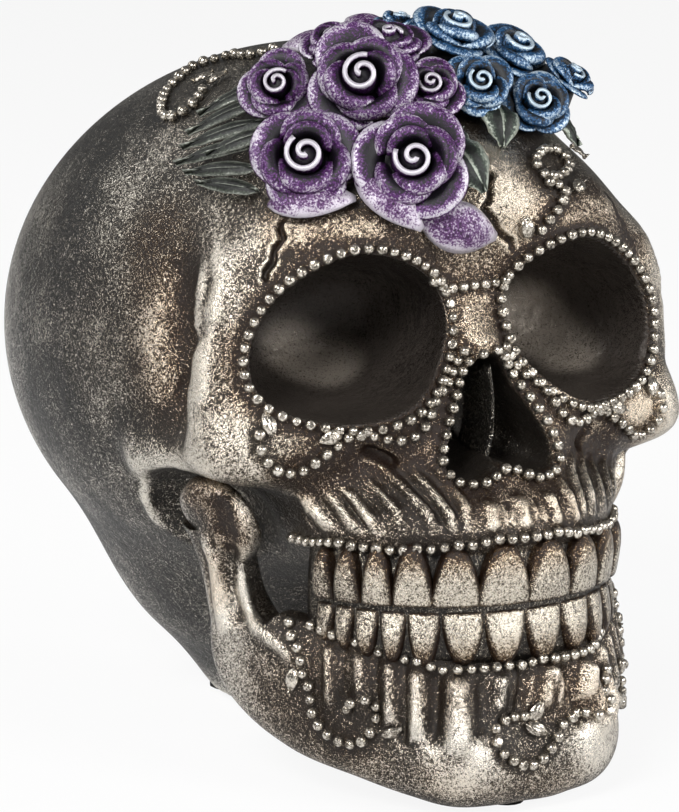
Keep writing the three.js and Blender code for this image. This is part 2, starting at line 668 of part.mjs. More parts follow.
const pewter = { color: 0x5a5148, roughness: 0.42, metalness: 0.75 };
const silver = { color: 0xb9b2a4, roughness: 0.35, metalness: 0.85 };
const purple = { color: 0x5b3a78, roughness: 0.5, metalness: 0.3 };
const blue = { color: 0x2d5d86, roughness: 0.5, metalness: 0.3 };
const green = { color: 0x2f3f30, roughness: 0.55, metalness: 0.3 };
const felt = { color: 0x1c1b1a, roughness: 0.95, metalness: 0 };

function boxSolid(size, middle) {
  const box = new THREE.BoxGeometry(...size.toArray()).translate(...middle.toArray());
  return solidOfGeometry(bare(box));
}
function discSolid(width, thickness, middle) {
  const disc = new THREE.CylinderGeometry(width / 2, width / 2, thickness, padSides);
  disc.rotateX(Math.PI / 2).translate(...middle.toArray());
  return solidOfGeometry(bare(disc));
}

const footHeight = padThickness + seatGap;
const ground = boxSolid(
  vec(2 * skullWidth, 2 * skullLength, skullHeight),
  vec(0, 0, footHeight - skullHeight / 2),
);
const craniumShell = solidOfGeometry(skinOf(craniumDistance, craniumDetail));
const craniumSeat = solidOfGeometry(skinOf(craniumDistance, craniumDetail, seatGap));
let cranium = craniumShell.subtract(ground);
for (const side of Object.values(sides)) cranium = cranium.subtract(socketCutter(side));
addPiece("cranium", cranium.subtract(noseCutter()), pewter);
const jaw = jawSolid();
addPiece("mandible", jaw.subtract(craniumSeat).subtract(ground), pewter);

const widthsOf = (shares) => shares.map((share) => share * skullWidth);
const upperHeight = crownHeightShares.upper * skullHeight;
const upperRow = toothRow(widthsOf(upperToothShares), upperHeight, biteHeight, 1, 0);
addPiece("upper_teeth", upperRow.subtract(craniumSeat), silver);
const lowerHeight = crownHeightShares.lower * skullHeight;
const lowerRow = toothRow(widthsOf(lowerToothShares), lowerHeight, biteHeight - biteGap, -1, lowerArchInset);
addPiece("lower_teeth", lowerRow.subtract(jawSolid(seatGap)), silver);

const onCranium = settlerOn(craniumShell);
const onFace = settlerOn(craniumShell, vec(0, 1, 0));
const onJaw = settlerOn(jaw);
for (const [name, side] of Object.entries(sides)) {
  addPiece("eye_beads_" + name, eyeBeads(side, onFace), silver);
  addPiece("cheek_beads_" + name, beadString(routeOf(cheekRouteShares, side), onFace), silver);
  addPiece("jaw_beads_" + name, beadString(routeOf(jawRouteShares, side), onJaw), silver);
}
addPiece("nose_beads", noseBeads(onFace), silver);
addPiece("upper_gum_beads", gumBeads(upperStringShares, onCranium), silver);
addPiece("lower_gum_beads", gumBeads(lowerStringShares, onJaw), silver);
addPiece("crown_beads", beadString(routeOf(crownRouteShares), onCranium), silver);
addPiece("brow_beads", beadString(routeOf(browRouteShares), onCranium), silver);
addPiece("chin_beads", beadString(routeOf(chinRouteShares), onJaw), silver);

const placed = [];
for (const { name, share, width, stand } of rosesAsShares) {
  const frame = frameOn(place(share), onCranium);
  const [radius, lift] = [(width * skullWidth) / 2, stand * skullWidth];
  let flower = seated(rose(radius, lift), frame).subtract(craniumSeat);
  for (const other of placed) flower = flower.subtract(other);
  placed.push(seated(rose(radius + seatGap, lift), frame));
  addPiece(name, flower, name.startsWith("blue") ? blue : purple);
}
for (const { name, share, turn, ...size } of leavesAsShares) {
  const frame = frameOn(place(share), onCranium, radians(turn), seatGap);
  const [length, width] = [size.length * skullWidth, size.width * skullWidth];
  let leaf = seated(blade(length, width), frame).subtract(craniumSeat);
  for (const other of placed) leaf = leaf.subtract(other);
  placed.push(seated(blade(length + 2 * seatGap, width + 2 * seatGap), frame));
  addPiece(name, leaf, name.startsWith("petal") ? purple : green);
}

const pads = [
  { name: "felt_pad_1", share: [-0.05, 0.17, 0], width: padWidth },
  { name: "felt_pad_2", share: [0.05, 0.17, 0], width: padWidth },
  { name: "felt_pad_3", share: [0, 0.02, 0], width: padWidth },
  { name: "chin_pad", share: [0, -0.445, 0], width: chinPadWidth },
];
for (const { name, share, width } of pads)
  addPiece(name, discSolid(width, padThickness, place(share).setZ(padThickness / 2)), felt);

export default figure;
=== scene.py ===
"""Painted resin skull figurine: its shown pieces, their finishes, the studio and the camera.

Shapes are worked out in millimetres in the part's own frame, with the face along -Y and +Z up, and each
finished piece is scaled to metres.
"""

import math

import bmesh
import bpy
import numpy as np
from mathutils import Matrix, Vector
from mathutils.bvhtree import BVHTree


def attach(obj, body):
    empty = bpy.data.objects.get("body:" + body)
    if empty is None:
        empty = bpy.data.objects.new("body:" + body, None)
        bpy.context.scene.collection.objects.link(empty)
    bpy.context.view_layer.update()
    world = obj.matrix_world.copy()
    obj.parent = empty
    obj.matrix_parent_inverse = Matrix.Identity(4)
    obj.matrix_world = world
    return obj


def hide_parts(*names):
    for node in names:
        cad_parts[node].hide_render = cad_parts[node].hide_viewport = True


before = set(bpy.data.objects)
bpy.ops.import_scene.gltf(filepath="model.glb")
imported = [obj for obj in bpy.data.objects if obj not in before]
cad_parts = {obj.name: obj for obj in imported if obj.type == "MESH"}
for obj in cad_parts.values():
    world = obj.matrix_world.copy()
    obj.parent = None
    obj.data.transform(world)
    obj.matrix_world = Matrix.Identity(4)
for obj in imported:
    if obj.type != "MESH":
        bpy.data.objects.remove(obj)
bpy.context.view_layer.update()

MM = 0.001
SKULL = np.array([127.0, 174.0, 150.0])  # width, length, height: most places are shares of these
INSET = 0.45  # how far the shown skin stays inside the CAD model's
FOOT = 1.3  # height of the flat base, above the soles of the felt pads
FACE_SIDE = -3  # what lies wholly below this x is on the near side of the face, and is mirrored

# The camera: where it stands, which way it looks, its focal length in pixels of the picture, where its axis
# meets the picture, and the picture's width and height.
EYE = np.array([-370.6, -679.1, 212.9])
AZIMUTH, ELEVATION = math.radians(-28.5), math.radians(10.7)
FOCAL = 3622.9
AXIS_AT = (315.2, 413.9)
PICTURE = (679, 812)

BACK = np.array(
    [math.sin(AZIMUTH) * math.cos(ELEVATION), -math.cos(AZIMUTH) * math.cos(ELEVATION), math.sin(ELEVATION)]
)
RIGHT = np.array([math.cos(AZIMUTH), math.sin(AZIMUTH), 0])
UP = np.cross(BACK, RIGHT)


def place(share):
    """Millimetres from shares of the skull's width, length and height."""
    return np.asarray(share, float) * SKULL


def unit(v):
    v = np.asarray(v, float)
    return v / np.maximum(np.linalg.norm(v, axis=-1, keepdims=True), 1e-9)


def turned(p, degrees, axis):
    """Points turned about the X or Z axis through the origin."""
    c, s = math.cos(math.radians(degrees)), math.sin(math.radians(degrees))
    x, y, z = p[..., 0], p[..., 1], p[..., 2]
    if axis == "X":
        return np.stack([x, y * c - z * s, y * s + z * c], -1)
    return np.stack([x * c - y * s, x * s + y * c, z], -1)


def smooth_line(points, spacing, closed=False):
    """Points at an even spacing on a smooth curve through the given ones."""
    p = np.asarray(points, float)
    ring = np.vstack([p[-1:], p, p[:2]]) if closed else np.vstack([2 * p[0] - p[1], p, 2 * p[-1] - p[-2]])
    t = np.linspace(0, 1, 12, endpoint=False)[:, None]
    parts = []
    for a, b, c, d in zip(ring, ring[1:], ring[2:], ring[3:]):
        bend, twist = 2 * a - 5 * b + 4 * c - d, 3 * b - a - 3 * c + d
        parts.append(0.5 * (2 * b + (c - a) * t + bend * t**2 + twist * t**3))
    dense = np.vstack(parts + [ring[-2:-1]])
    reach = np.concatenate([[0], np.cumsum(np.linalg.norm(np.diff(dense, axis=0), axis=1))])
    count = max(2, int(round(reach[-1] / spacing)))
    at = np.linspace(0, reach[-1], count, endpoint=False) if closed else np.linspace(0, reach[-1], count + 1)
    return np.stack([np.interp(at, reach, dense[:, k]) for k in range(p.shape[1])], -1)


# The skull's rounded forms, in shares of its size: middle and radii of each egg
BRAINCASE = ((0, 0.031, 0.578), (0.5, 0.479, 0.407))
BRAINCASE_PITCH = 8  # degrees
BULKS = [
    ((0, 0.112, 0.276), (0.3, 0.28, 0.24)),
    ((0.21, -0.235, 0.613), (0.2, 0.09, 0.2)),
    ((0, -0.268, 0.4), (0.225, 0.165, 0.14)),
    ((0, 0.109, 0.07), (0.13, 0.14, 0.12)),
]
BULK_BLEND, BONE_BLEND = 12, 9  # breadth in mm over which forms run into each other
BROW_HOLLOW = ((0, -0.49, 0.685), (0.28, 0.13, 0.18), 12.1)
# Each bone: where it starts and ends, and its radius there as a share of the skull's width.
BONES = {
    "brow": ((0.1, -0.28, 0.735), (0.24, -0.285, 0.752), 0.03, 0.038),
    "brow end": ((0.24, -0.285, 0.752), (0.35, -0.255, 0.68), 0.038, 0.055),
    "orbit side": ((0.35, -0.255, 0.68), (0.37, -0.27, 0.53), 0.052, 0.062),
    "cheekbone": ((0.37, -0.3, 0.48), (0.27, -0.33, 0.475), 0.055, 0.045),
    "orbit floor": ((0.3, -0.305, 0.49), (0.14, -0.315, 0.505), 0.04, 0.03),
    "nose side": ((0.05, -0.22, 0.7), (0.085, -0.358, 0.475), 0.02, 0.034),
    "nose bridge": ((0, -0.235, 0.72), (0, -0.388, 0.612), 0.03, 0.022),
    "nose floor": ((0.08, -0.37, 0.455), (0, -0.392, 0.43), 0.042, 0.045),
    "arch": ((0.38, -0.29, 0.465), (0.425, -0.145, 0.445), 0.05, 0.03),
}
HOLLOWS = [  # temple, under the arch, ear: middle, radii, softness in mm
    ((0.475, -0.225, 0.64), (0.08, 0.03, 0.17), 6.0),
    ((0.42, -0.29, 0.28), (0.15, 0.17, 0.15), 8.0),
    ((0.4, -0.2, 0.35), (0.14, 0.105, 0.085), 3.0),
]

# The arch that both rows of teeth stand on, the height of the bite, and the gum above it
ARCH_HALF, ARCH_DEPTH, ARCH_BACK = 36.45, 34.3, -52.0
BITE = 42.3
GUM_RADIUS, GUM_RISE, GUM_INSET = 6.45, 14.55, 1.0

# The openings: outline in shares of breadth and height, place on the face, and how deep the bowl behind it is
SOCKET_SIZE, SOCKET_DEPTH = (40.64, 33.0), 33.0
SOCKET = np.array([[-0.49, 0.15], [-0.4, 0.34], [-0.2, 0.47], [0, 0.5], [0.2, 0.41], [0.39, 0.23], [0.495, 0],
                   [0.5, -0.24], [0.39, -0.42], [0.15, -0.5], [-0.05, -0.5], [-0.24, -0.42], [-0.39, -0.26],
                   [-0.48, -0.06]]) * SOCKET_SIZE
SOCKET_AT = place((0.209, -0.345, 0.632))
SOCKET_LEAN = 9  # degrees that each socket faces outwards
NOSE_SIZE, NOSE_DEPTH = (25.0, 24.0), 20.0
HALF_NOSE = [[0.14, 0.9], [0.27, 0.66], [0.41, 0.42], [0.5, 0.17], [0.46, 0.04], [0.33, 0], [0.17, 0.02]]
NOSE = np.array([[0, 1], *HALF_NOSE, [0, 0.12], *([-x, y] for x, y in HALF_NOSE[::-1])]) * NOSE_SIZE
NOSE_AT = place((0, -0.424, 0.443))
NOSE_MIDDLE = np.array([0, 9.0])
SOCKET_ROUNDNESS, NOSE_ROUNDNESS = 2.4, 3.0


def soft_min(a, b, blend):
    """The smaller distance, rounded over where the two are nearly the same."""
    near = np.maximum(blend - np.abs(a - b), 0) / blend
    return np.minimum(a, b) - near * near * blend / 4


def soft_max(a, b, blend):
    return -soft_min(-a, -b, blend)


def egg(p, centre, radii, pitch=0):
    """Distance to an egg, good near its surface."""
    local, radii = p - place(centre), place(radii)
    if pitch:
        local = turned(local, pitch, "X")
    near = np.linalg.norm(local / radii, axis=1)
    return near * (near - 1) / np.maximum(np.linalg.norm(local / radii / radii, axis=1), 1e-9)


def bone(p, start, end, start_radius, end_radius):
    """Distance to a round bone that tapers between two places."""
    start, run = place(start), place(end) - place(start)
    share = np.clip((p - start) @ run / (run @ run), 0, 1)
    radius = (start_radius + (end_radius - start_radius) * share) * SKULL[0]
    return np.linalg.norm(p - start - share[:, None] * run, axis=1) - radius


def gum(p):
    """Distance to the rounded upper gum along the tooth arch, drawn out behind it."""
    x, y = p[:, 0] / ARCH_HALF, (p[:, 1] - ARCH_BACK) / ARCH_DEPTH
    y = np.where(y > 0, y * 0.6, y)
    flat = (np.hypot(x, y) - 1) * min(ARCH_HALF, ARCH_DEPTH) + GUM_RADIUS + GUM_INSET
    return np.hypot(np.maximum(flat, -GUM_RADIUS), p[:, 2] - BITE - GUM_RISE) - GUM_RADIUS


class Mouth:
    """The outline of an opening by angle, so that a bowl can be sunk behind it."""

    def __init__(self, outline, middle, depth, roundness):
        dense = smooth_line(outline - middle, 0.5, closed=True)
        angle = np.arctan2(dense[:, 1], dense[:, 0])
        order = np.argsort(angle)
        self.angle = np.concatenate([angle[order] - 2 * np.pi, angle[order], angle[order] + 2 * np.pi])
        self.reach = np.tile(np.linalg.norm(dense, axis=1)[order], 3)
        self.middle, self.depth, self.roundness = middle, depth, roundness

    def inside(self, across, rise, deep):
        """Below zero in the bowl and in front of it."""
        u, v = across - self.middle[0], rise - self.middle[1]
        reach = np.interp(np.arctan2(v, u), self.angle, self.reach)
        n = self.roundness
        size = ((np.hypot(u, v) / reach) ** n + (np.maximum(deep, 0) / self.depth) ** n) ** (1 / n)
        return (size - 1) * np.minimum(reach, self.depth)


socket_mouth = Mouth(SOCKET, np.array([0, 0.0]), SOCKET_DEPTH, SOCKET_ROUNDNESS)
nose_mouth = Mouth(NOSE, NOSE_MIDDLE, NOSE_DEPTH, NOSE_ROUNDNESS)


def socket_bowl(p):
    local = turned(p - SOCKET_AT, -SOCKET_LEAN, "Z")
    return socket_mouth.inside(local[:, 0], local[:, 2], local[:, 1])


def nose_hollow(p):
    local = p - NOSE_AT
    return nose_mouth.inside(local[:, 0], local[:, 2], local[:, 1])


def skull_distance(p):
    """Distance to the skull's skin with its sockets and nose still filled."""
    half = p.copy()
    half[:, 0] = np.abs(half[:, 0])
    d = egg(half, *BRAINCASE, BRAINCASE_PITCH)
    for centre, radii in BULKS:
        d = soft_min(d, egg(half, centre, radii), BULK_BLEND)
    centre, radii, soft = BROW_HOLLOW
    d = soft_max(d, -egg(half, centre, radii), soft)
    for start, end, a, b in BONES.values():
        d = soft_min(d, bone(half, start, end, a, b), BONE_BLEND)
    d = soft_min(d, gum(half), BONE_BLEND)
    for centre, radii, soft in HOLLOWS:
        d = soft_max(d, -egg(half, centre, radii), soft)
    return np.maximum(d + INSET, FOOT - p[:, 2])


HEART = np.array([0, -0.02, 0.56]) * SKULL  # the place inside that the rays to the skin start from
# A stride's share of the distance left, how many strides at most, and how close in mm is close enough.
STRIDE, MOST_STRIDES, CLOSE_ENOUGH = 0.7, 140, 0.01


def walk_in(rays):
    """Each ray's far end walks in towards the heart until it meets the skull's skin."""
    reach = np.full(len(rays), SKULL[1])
    live = np.arange(len(rays))
    for _ in range(MOST_STRIDES):
        gap = skull_distance(HEART + rays[live] * reach[live, None])
        reach[live] -= gap * STRIDE
        live = live[np.abs(gap) > CLOSE_ENOUGH]
        if not len(live):
            break
    return HEART + rays * reach[:, None]


# Meshes as arrays


def mesh_points(mesh):
    co = np.zeros(len(mesh.vertices) * 3)
    mesh.vertices.foreach_get("co", co)
    return co.reshape(-1, 3)


def set_points(mesh, points):
    mesh.vertices.foreach_set("co", np.asarray(points, np.float32).ravel())
    mesh.update()


def mesh_normals(mesh):
    n = np.zeros(len(mesh.vertices) * 3)
    mesh.vertex_normals.foreach_get("vector", n)
    return n.reshape(-1, 3)


def mesh_edges(mesh):
    e = np.zeros(len(mesh.edges) * 2, int)
    mesh.edges.foreach_get("vertices", e)
    return e.reshape(-1, 2)


def relaxed(points, edges, rounds, share=0.6):
    """Each point drawn towards the mean of its neighbours."""
    n = len(points)
    degree = np.bincount(edges.ravel(), minlength=n)[:, None]
    p = points.copy()
    for _ in range(rounds):
        total = np.stack([
            np.bincount(edges[:, 0], p[edges[:, 1], k], n) + np.bincount(edges[:, 1], p[edges[:, 0], k], n)
            for k in range(p.shape[1])
        ], -1)
        p += share * (total / degree - p)
    return p


def tree_of(mesh):
    bm = bmesh.new()
    bm.from_mesh(mesh)
    tree = BVHTree.FromBMesh(bm)
    bm.free()
    return tree


def sight(px, py):
    """The way that a spot of the picture lies from the camera."""
    return unit(-BACK + RIGHT * (px - AXIS_AT[0]) / FOCAL - UP * (py - AXIS_AT[1]) / FOCAL)


def seen(tree, spots):
    """Where the sight lines through spots of the picture meet a surface."""
    hits = []
    for px, py in spots:
        at, _, _, _ = tree.ray_cast(Vector(EYE), Vector(sight(px, py)))
        if at is not None:
            hits.append(np.array(at))
    return np.array(hits)


def near_skin(tree, points):
    """The nearest places of a surface to the points, and its normals there."""
    at, normal = [], []
    for p in points:
        spot, n, _, _ = tree.find_nearest(Vector(p))
        at.append(spot)
        normal.append(n)
    return np.array(at), np.array(normal)


def from_front(tree, points):
    """Where the points meet a surface when they are pushed onto it from the front, and its normals there."""
    at, normal = [], []
    inwards = Vector((0, 1, 0))
    for p in points:
        spot, n, _, _ = tree.ray_cast(Vector(p) - inwards * 120, inwards)
        if spot is None:
            spot, n, _, _ = tree.find_nearest(Vector(p))
        at.append(spot)
        normal.append(n)
    return np.array(at), np.array(normal)


def line_distance(points, path):
    """Distance from each point to a path and the share of the path there."""
    best = np.full(len(points), 1e9)
    along = np.zeros(len(points))
    steps = len(path) - 1
    for i, (a, b) in enumerate(zip(path, path[1:])):
        run = b - a
        t = np.clip((points - a) @ run / max(run @ run, 1e-9), 0, 1)
        d = np.linalg.norm(points - a - t[:, None] * run, axis=1)
        near = d < best
        best[near], along[near] = d[near], (i + t[near]) / steps
    return best, along


def near_path(points, path, reach):
    """Which points lie in the box round a path, widened by reach, their distances and shares of the path."""
    low, high = path.min(0) - reach, path.max(0) + reach
    near = np.where(((points > low) & (points < high)).all(1))[0]
    return near, *line_distance(points[near], path)


def mirrored(path):
    return np.asarray(path) * [-1, 1, 1]


def both_sides(path):
    """A path, and its mirror image where it lies wholly on the near side of the face."""
    return (path, mirrored(path)) if path[:, 0].max() < FACE_SIDE else (path,)


def smoothstep(low, high, value):
    t = np.clip((value - low) / (high - low), 0, 1)
    return t * t * (3 - 2 * t)


class Sculpt:
    """A mesh whose points are pushed along its normals by strokes."""

    def __init__(self, mesh):
        self.mesh = mesh
        self.points = mesh_points(mesh)
        self.normals = mesh_normals(mesh)
        self.edges = mesh_edges(mesh)
        self.push = np.zeros(len(self.points))

    def stroke(self, path, width, height, fade, round_top=2.0):
        """A ridge, or a groove where the height is below zero, along a path on the surface. It fades out over
        a share of the path at both ends."""
        near, d, along = near_path(self.points, path, width)
        bump = np.clip(1 - (d / width) ** 2, 0, 1) ** round_top
        self.push[near] += height * bump * smoothstep(0, fade, np.minimum(along, 1 - along))

    def carve(self, tree, table, fade):
        """Strokes that are drawn in the picture: their spots, half width and height in mm."""
        for spots, width, height in table:
            for path in both_sides(seen(tree, spots)):
                self.stroke(path, width, height, fade)

    def dome(self, centre, radius, height):
        d = np.linalg.norm(self.points - centre, axis=1)
        self.push += height * np.clip(1 - (d / radius) ** 2, 0, 1) ** 2

    def settle(self):
        self.points = self.points + self.normals * self.push[:, None]
        set_points(self.mesh, self.points)


def relief(points, normals, edges, rounds):
    """How far each point stands out from its smoothed surroundings."""
    return ((points - relaxed(points, edges, rounds)) * normals).sum(1)


def add_masks(mesh, **masks):
    for name, values in masks.items():
        attribute = mesh.attributes.get(name) or mesh.attributes.new(name, "FLOAT", "POINT")
        attribute.data.foreach_set("value", np.clip(values, 0, 1).astype(np.float32))


def metal_masks(mesh):
    """How much metal paint the relief catches, from 0 in a hollow to 1 on a crest. Fine relief stands out by
    about 0.16 mm and broad relief by about 1.1 mm."""
    points, normals, edges = mesh_points(mesh), mesh_normals(mesh), mesh_edges(mesh)
    small = np.tanh(relief(points, normals, edges, 3) / 0.16)
    large = np.tanh(relief(points, normals, edges, 26) / 1.1)
    return 0.3 + 0.44 * small + 0.42 * large


def patches(points, tree, table):
    """Soft patches round lines drawn in the picture: their spots, half breadth in mm and strength."""
    total = np.zeros(len(points))
    for spots, breadth, strength in table:
        line = seen(tree, spots)
        if not len(line):
            continue
        if len(line) == 1:
            line = np.vstack([line, line + 0.01])
        for path in both_sides(line):
            near, d, _ = near_path(points, path, breadth)
            total[near] += strength * np.clip(1 - (d / breadth) ** 2, 0, 1) ** 2
    return total


def mesh_from(bm, name):
    mesh = bpy.data.meshes.new(name)
    bm.to_mesh(mesh)
    bm.free()
    return mesh


def piece(name, source, material, nodes):
    """A finished piece in metres, riding on the figurine, that stands for its CAD nodes."""
    mesh = mesh_from(source, name) if isinstance(source, bmesh.types.BMesh) else source
    mesh.name = name
    mesh.transform(Matrix.Scale(MM, 4))
    mesh.polygons.foreach_set("use_smooth", [True] * len(mesh.polygons))
    mesh.materials.append(material)
    mesh.update()
    obj = bpy.data.objects.new(name, mesh)
    bpy.context.scene.collection.objects.link(obj)
    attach(obj, "root")
    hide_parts(*nodes)


# The jaw

# Stations from the condyle to the chin: middle, way across, half breadth, half thickness, as in the part.
JAW = [
    ((0.388, -0.182, 0.402), (0.2, 1, 0.1), 0.036, 0.03),
    ((0.358, -0.222, 0.372), (0.25, 1, 0.1), 0.09, 0.028),
    ((0.335, -0.215, 0.315), (0.3, 1, 0), 0.052, 0.036),
    ((0.318, -0.222, 0.245), (0.3, 1, -0.1), 0.05, 0.042),
    ((0.302, -0.25, 0.185), (0.2, 0.8, -0.6), 0.096, 0.045),
    ((0.255, -0.32, 0.153), (0.15, 0.2, -1), 0.11, 0.05),
    ((0.192, -0.388, 0.135), (0.1, 0, -1), 0.115, 0.055),
    ((0.122, -0.437, 0.118), (0, -0.12, -1), 0.12, 0.06),
    ((0.055, -0.458, 0.11), (0, -0.15, -1), 0.12, 0.065),
    ((0, -0.461, 0.11), (0, -0.15, -1), 0.12, 0.065),
]
JAW_ALONG, JAW_AROUND = 420, 96  # faces along the jaw and round its section
JAW_END = 4  # length in mm over which each condyle is rounded off
JAW_SQUARENESS = 0.75  # 1 for an oval section, less for a squarer one


def jaw_mesh():
    """The jaw as a smooth loft through its stations, closed at both condyles."""
    stations = JAW + [((-at[0], *at[1:]), (-way[0], *way[1:]), *rest) for at, way, *rest in JAW[-2::-1]]
    rows = [[*place(at), *way, half * SKULL[0], thick * SKULL[0]] for at, way, half, thick in stations]
    rows = smooth_line(np.array(rows), 0.2)
    reach = np.concatenate([[0], np.cumsum(np.linalg.norm(np.diff(rows[:, :3], axis=0), axis=1))])
    at = np.linspace(0, reach[-1], JAW_ALONG + 1)
    rows = np.stack([np.interp(at, reach, rows[:, k]) for k in range(8)], -1)
    middle, across, half, thick = rows[:, :3], rows[:, 3:6], rows[:, 6], rows[:, 7]
    tangent = unit(np.gradient(middle, axis=0))
    wide = unit(across - (across * tangent).sum(1, keepdims=True) * tangent)
    thin = np.cross(wide, tangent)
    bm = bmesh.new()
    bmesh.ops.create_grid(bm, x_segments=JAW_ALONG, y_segments=JAW_AROUND, size=1)
    grid = np.array([v.co for v in bm.verts])
    u = np.rint((grid[:, 0] + 1) / 2 * JAW_ALONG).astype(int)
    turn = (grid[:, 1] + 1) * np.pi
    squared = lambda value: np.sign(value) * np.abs(value) ** JAW_SQUARENESS
    share = np.minimum(at, at[-1] - at)[u] / JAW_END
    close = np.sqrt(np.clip(1 - (1 - np.clip(share, 0, 1)) ** 2, 0, 1))
    spots = middle[u] + wide[u] * (squared(np.cos(turn)) * half[u] * close)[:, None]
    spots += thin[u] * (squared(np.sin(turn)) * thick[u] * close)[:, None]
    for v, spot in zip(bm.verts, spots):
        v.co = spot
    bmesh.ops.remove_doubles(bm, verts=bm.verts, dist=0.01)
    bmesh.ops.recalc_face_normals(bm, faces=bm.faces)
    return mesh_from(bm, "jaw")


# The teeth: widths of the crowns from the middle outwards, and their heights as shares of the row's
UPPER_WIDTHS = [10.8, 9.65, 8.4, 6.85, 6.6, 5.6]
LOWER_WIDTHS = [9.15, 9.0, 6.85, 5.85, 5.45, 4.95, 4.95]
CROWN_HEIGHTS = [1, 0.97, 1.02, 0.95, 0.88, 0.82, 0.76]
UPPER_HEIGHT, LOWER_HEIGHT = 13.4, 12.2
LOWER_INSET, BITE_GAP = 1.3, 0.3  # how far the lower row stands behind the upper one, and below it
# From the biting edge to the gum: share of the height, of the width and of the thickness.
CROWN_RISE = [0, 0.03, 0.1, 0.3, 0.48, 0.62, 0.74, 0.85, 0.93, 0.98, 1]
CROWN_WIDE = [0.94, 1.0, 1.02, 0.99, 0.9, 0.8, 0.68, 0.53, 0.37, 0.2, 0]
CROWN_THICK = [0.35, 0.55, 0.7, 0.88, 1, 1.02, 1, 0.88, 0.66, 0.4, 0]
CROWN_DEPTH, CROWN_SET_BACK = 2.9, 2.6  # half thickness of a crown, and how far it stands behind the arch
CROWN_SQUARENESS = 0.45


def arch_spot(length, inset=0.0):
    """Place and way out on the tooth arch, at a length from the midline."""
    angle = np.linspace(0, np.pi / 2, 400)
    half, depth = ARCH_HALF - inset, ARCH_DEPTH - inset
    line = np.stack([half * np.sin(angle), ARCH_BACK - depth * np.cos(angle)], -1)
    reach = np.concatenate([[0], np.cumsum(np.linalg.norm(np.diff(line, axis=0), axis=1))])
    a = np.interp(abs(length), reach, angle)
    side = math.copysign(1, length) if length else 1
    out = unit([side * math.sin(a) * depth, -math.cos(a) * half, 0])
    return np.array([side * half * math.sin(a), ARCH_BACK - depth * math.cos(a), 0]), out


def tooth(bm, length, width, height, base, up, inset, rng):
    """A crown with a flat face and a pointed arch at the gum."""
    at, out = arch_spot(length, inset)
    along = np.cross([0, 0, 1], out)
    made = bmesh.ops.create_uvsphere(bm, u_segments=32, v_segments=22, radius=1)
    skew, swell = rng.uniform(-0.03, 0.03), rng.uniform(0.96, 1.03)
    for v in made["verts"]:
        rise = 1 - math.acos(max(-1, min(1, v.co.z * up))) / math.pi
        angle = math.atan2(v.co.y, v.co.x)
        x, y = (math.copysign(abs(c) ** CROWN_SQUARENESS, c) for c in (math.cos(angle), math.sin(angle)))
        wide = 0.5 * width * swell * np.interp(rise, CROWN_RISE, CROWN_WIDE)
        thick = CROWN_DEPTH * np.interp(rise, CROWN_RISE, CROWN_THICK)
        closed = 0 if rise > 0.999 or rise < 0.001 else 1
        rounding, bevel = 0.5 * math.cos(x * 1.5), 0.35 * max(0, abs(x + 0.1) - 0.62)
        face = rounding - bevel - 0.3 * rise
        spot = at + along * (x * wide * closed + skew * rise * width)
        spot += out * (y * thick * closed - CROWN_SET_BACK + face)
        spot[2] = base + up * height * rise
        v.co = spot


def tooth_row(widths, height, base, up, inset, seed):
    rng = np.random.default_rng(seed)
    bm = bmesh.new()
    for side in (-1, 1):
        reach = 0
        for k, width in enumerate(widths):
            tooth(bm, side * (reach + width / 2), width, height * CROWN_HEIGHTS[k], base, up, inset, rng)
            reach += width
    bmesh.ops.recalc_face_normals(bm, faces=bm.faces)
    return bm


# The beads: diameter, distance from one to the next, and how far each is sunk, as a share of its diameter
BEAD, BEAD_PITCH, BEAD_SINK = 2.4, 2.7, 0.18
strings = []  # the middles of each string's beads


def add_bead(bm, at, normal, size, pit):
    """A bead, with a pit in its top where the casting didn't fill."""
    turn = Vector(normal).to_track_quat("Z", "Y").to_matrix().to_4x4()
    matrix = Matrix.Translation(Vector(at)) @ turn @ Matrix.Scale(size / 2, 4)
    made = bmesh.ops.create_uvsphere(bm, u_segments=8, v_segments=6, radius=1, matrix=matrix)
    if pit:
        top = max(made["verts"], key=lambda v: (v.co - Vector(at)).dot(Vector(normal)))
        top.co -= Vector(normal) * size * 0.4


def bead_string(bm, path, settle, rng, closed):
    at, normal = settle(smooth_line(path, BEAD_PITCH, closed))
    strings.append(at)
    for p, n in zip(at, normal):
        grown = BEAD * rng.uniform(0.9, 1.08)
        add_bead(bm, p + unit(n) * grown * (0.5 - BEAD_SINK), n, grown, rng.random() < 0.3)


# Roses and leaves

BUD_TURNS = 1.35  # turns of the spiral at a rose's heart
BUD_RADIUS, PETAL_THICK = 0.34, 0.075  # shares of the rose's radius
PETAL_TURN = 2.09  # radians from one petal to the next


def sheet(bm, across, along, shape, thick, lip_layer):
    """A curved sheet from a grid: shape(a, b) gives its place and how near it is to its edge, a from -1 to 1
    across it and b from 0 to 1 along it."""
    made = bmesh.ops.create_grid(bm, x_segments=across, y_segments=along, size=1)
    verts = made["verts"]
    faces = list({f for v in verts for f in v.link_faces})
    for v in verts:
        spot, edge = shape(v.co.x, (v.co.y + 1) / 2)
        v.co = spot
        v[lip_layer] = edge
    bmesh.ops.recalc_face_normals(bm, faces=faces)
    bmesh.ops.solidify(bm, geom=faces, thickness=thick)


